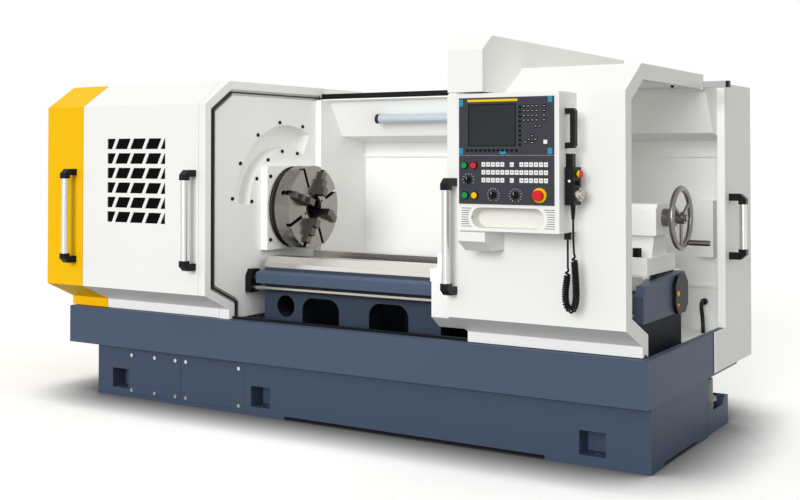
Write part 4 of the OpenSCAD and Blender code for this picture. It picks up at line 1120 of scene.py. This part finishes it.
    def key_marks(self) -> None:
        """Models the small dark mark in the middle of each white key."""
        marks = Mesher()
        top = self.face - self.key_proud
        for row, z in enumerate(self.key_rows):
            for column in range(self.key_columns):
                if row != 1 and column in self.key_gaps:
                    continue
                x = self.key_first + column * self.key_pitch
                marks.block((x - 0.0028, top - 0.0003, z - 0.002), (x + 0.0028, top + 0.0003, z + 0.002))
        dark = Finish("dark_marks", Coat(srgb(96, 96, 100), 0.5), MOULDED)
        marks.piece("key_marks", dark, Body.HOOD, Slot.PANEL)

    def scales(self) -> None:
        """Models the white tick marks round each knob, and the pointer on it."""
        ticks = Mesher()
        pale = Finish("scale_white", Coat(srgb(228, 228, 228), 0.5), MOULDED)
        for body, x, z, radius, reach, count in self.knobs:
            for tick in range(count):
                angle = -reach + 2.0 * reach * tick / (count - 1)
                centre = (x, self.face + 0.0002, z)
                ticks.spoke(centre, angle, radius - 0.002, radius + 0.002, 0.0018, 0.0006)
            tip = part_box(body.value)[0][1]
            pointer = Mesher()
            pointer.spoke((x, tip + 0.0004, z), 0.0, 0.002, 0.011, 0.0016, 0.0008)
            pointer.piece(f"{body.value}_pointer", pale, body, Slot.LIGHT_GREY)
        ticks.piece("knob_scales", pale, Body.HOOD, Slot.LIGHT_GREY)

    def build(self) -> None:
        """Models everything on the plates."""
        self.screen()
        self.tabs()
        self.cluster()
        self.key_marks()
        self.scales()


@dataclass
class Pendant(Assembly):
    """The hand pendant on the side of the control box, with its curly cord.

    Args:
        diameter: Cord diameter.
        coil_radius: Radius of the cord's own middle line round the coil's line.
        pitch: Distance from turn to turn where the coil runs straight.
        end_lead: Distance that the first turn would take at the coil's very end.
        opening: Length over which the coil opens to its full radius.
        least_spread: Least share of the room on the inside of a bend that widens the turns.
        step: Distance of the helix points along the coil's line.
        window: Number of points to each side that a bend is measured over.
        out_route: Points of the straight stretch from the box's gland to the coil.
        coil_route: Points of the coil's own line.
        in_route: Points of the straight stretch from the coil to the pendant.
        mark_at: X and Z of the white diamond.
        mark_side: Side of the white diamond.
        collar_end: X up to which the pendant's stop shows its yellow collar.
    """

    diameter: float = 0.008
    coil_radius: float = 0.0102
    pitch: float = 0.0082
    end_lead: float = 0.045
    opening: float = 0.040
    least_spread: float = 0.82
    step: float = 0.0006
    window: int = 12
    out_route: Tuple[Point, ...] = (
        (1.856, -0.690, 0.907), (1.856, -0.690, 0.880), (1.8575, -0.693, 0.845), (1.859, -0.6965, 0.805),
    )
    coil_route: Tuple[Point, ...] = (
        (1.859, -0.6965, 0.805), (1.8595, -0.6976, 0.792), (1.856, -0.698, 0.760), (1.850, -0.699, 0.710),
        (1.852, -0.699, 0.672), (1.860, -0.699, 0.653), (1.872, -0.699, 0.645), (1.885, -0.700, 0.654),
        (1.893, -0.701, 0.680), (1.895, -0.703, 0.715), (1.894, -0.705, 0.760), (1.891, -0.706, 0.810),
        (1.888, -0.706, 0.860),
    )
    in_route: Tuple[Point, ...] = (
        (1.888, -0.706, 0.860), (1.8865, -0.7065, 0.900), (1.8855, -0.707, 0.945), (1.8855, -0.707, 0.985),
    )
    mark_at: Pair = (1.8855, 1.128)
    mark_side: float = 0.009
    collar_end: float = 1.9155

    def finishes(self) -> Dict[str, Finish]:
        """Gives the finish of each piece.

        Returns:
            The finishes by node.
        """
        gloss = Coat(srgb(224, 42, 46), 0.28)
        yellow = Zone(Coat(srgb(246, 200, 20), 0.35), x=(None, self.collar_end))
        return {
            "pendant": Finish("pendant_black", BLACK, MOULDED),
            "pendant_dial": Finish("dial_steel", STEEL, SMOOTH),
            "pendant_stop": Finish("pendant_red", gloss, MOULDED, (yellow,)),
        }

    @staticmethod
    def smooth(points: Sequence[Point], step: float) -> List[Vector]:
        """Lays a smooth line through a route's points.

        Args:
            points: The route's points.
            step: Greatest distance between points of the line.

        Returns:
            The points of the line.
        """
        knots = [Vector(p) for p in points]
        knots = [knots[0] * 2 - knots[1], *knots, knots[-1] * 2 - knots[-2]]
        line = [knots[1]]
        for a, b, c, d in zip(knots, knots[1:], knots[2:], knots[3:]):
            count = max(2, math.ceil((c - b).length / step))
            for place in range(1, count + 1):
                t = place / count
                bend = (c - a) * t + (a * 2 - b * 5 + c * 4 - d) * t * t + (b * 3 - a - c * 3 + d) * t ** 3
                line.append(b + bend * 0.5)
        return line

    def winding(self) -> List[Vector]:
        """Lays the whole cord on one smooth line and winds its middle stretch into a coil.

        The first and last turns open out slowly, so that the cord has no tight bend there, and
        the turns stand wider apart where the line bends, so that they keep clear on the inside.

        Returns:
            The points of the cord's middle line.
        """
        line = self.smooth(self.out_route + self.coil_route[1:] + self.in_route[1:], self.step)
        last = len(line) - 1
        first, end = (self.nearest(line, point) for point in (self.coil_route[0], self.coil_route[-1]))
        steps = [0.0] + [(b - a).length for a, b in zip(line, line[1:])]
        angle = 0.0
        points: List[Vector] = []
        for place, here in enumerate(line):
            before, after = line[max(0, place - self.window)], line[min(last, place + self.window)]
            tangent = (after - before).normalized()
            side = (Vector((0.0, 1.0, 0.0)) - tangent * tangent.y).normalized()
            inside = max(0.0, min(sum(steps[first + 1:place + 1]), sum(steps[place + 1:end + 1])))
            if first < place <= end:
                inward = ((before - here).normalized() + (after - here).normalized()).length
                bend = inward / max(1e-6, (after - before).length / 2)
                spread = self.pitch / max(self.least_spread, 1.0 - self.coil_radius * bend)
                lead = spread + (self.end_lead - spread) * (1.0 - self.ease(inside / self.opening))
                angle += math.tau * steps[place] / lead
            reach = self.coil_radius * self.ease(inside / self.opening)
            points.append(here + (side * math.cos(angle) + tangent.cross(side) * math.sin(angle)) * reach)
        return points

    @staticmethod
    def ease(share: float) -> float:
        """Gives a share that starts and ends softly."""
        share = min(1.0, max(0.0, share))
        return share * share * (3.0 - 2.0 * share)

    @staticmethod
    def nearest(line: Sequence[Vector], point: Point) -> int:
        """Gives the place on a line that is nearest to a point."""
        return min(range(len(line)), key=lambda place: (line[place] - Vector(point)).length)

    def cord(self) -> None:
        """Models the cord from the box's gland to the pendant's strain relief."""
        points = self.winding()
        data = bpy.data.curves.new("pendant_curly_cord", "CURVE")
        data.dimensions = "3D"
        data.bevel_depth = self.diameter / 2
        data.bevel_resolution = 4
        data.use_fill_caps = True
        spline = data.splines.new("POLY")
        spline.points.add(len(points) - 1)
        for knot, point in zip(spline.points, points):
            knot.co = (*point, 1.0)
        spline.use_smooth = True
        made = link(bpy.data.objects.new("pendant_curly_cord", data))
        data.materials.append(Finish("cord_black", Coat(srgb(15, 15, 16), 0.36), MOULDED).build())
        length = sum((b - a).length for a, b in zip(points, points[1:]))
        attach(made, Body.HOOD.value)
        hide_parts("pendant_cord", "pendant_coil")
        log.info("cord of %.2f m, %d points", length, len(points))

    def mark(self) -> None:
        """Models the white diamond on the pendant's front side."""
        low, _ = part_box("pendant")
        shape = Mesher()
        centre = Matrix.Translation((self.mark_at[0], low[1] - 0.0002, self.mark_at[1]))
        size = Matrix.Diagonal((self.mark_side, 0.0008, self.mark_side, 1.0))
        lozenge = Matrix.Rotation(math.radians(45.0), 4, "Y") @ size
        bmesh.ops.create_cube(shape.bm, size=1.0, matrix=centre @ lozenge)
        shape.piece("pendant_mark", Finish("mark_white", KEY_WHITE, MOULDED), Body.HOOD, Slot.LIGHT_GREY)

    def build(self) -> None:
        """Models the cord and the mark."""
        self.cord()
        self.mark()


def main() -> None:
    """Builds the studio, then each assembly in order."""
    logging.basicConfig(level=logging.INFO, format="%(message)s")
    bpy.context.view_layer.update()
    Studio().build()
    for assembly in (Pendant(), Cabinet(), Bed(), Headstock(), Slides(), ControlStation()):
        assembly.build()
        assembly.dress()


if __name__ == "__main__":
    main()
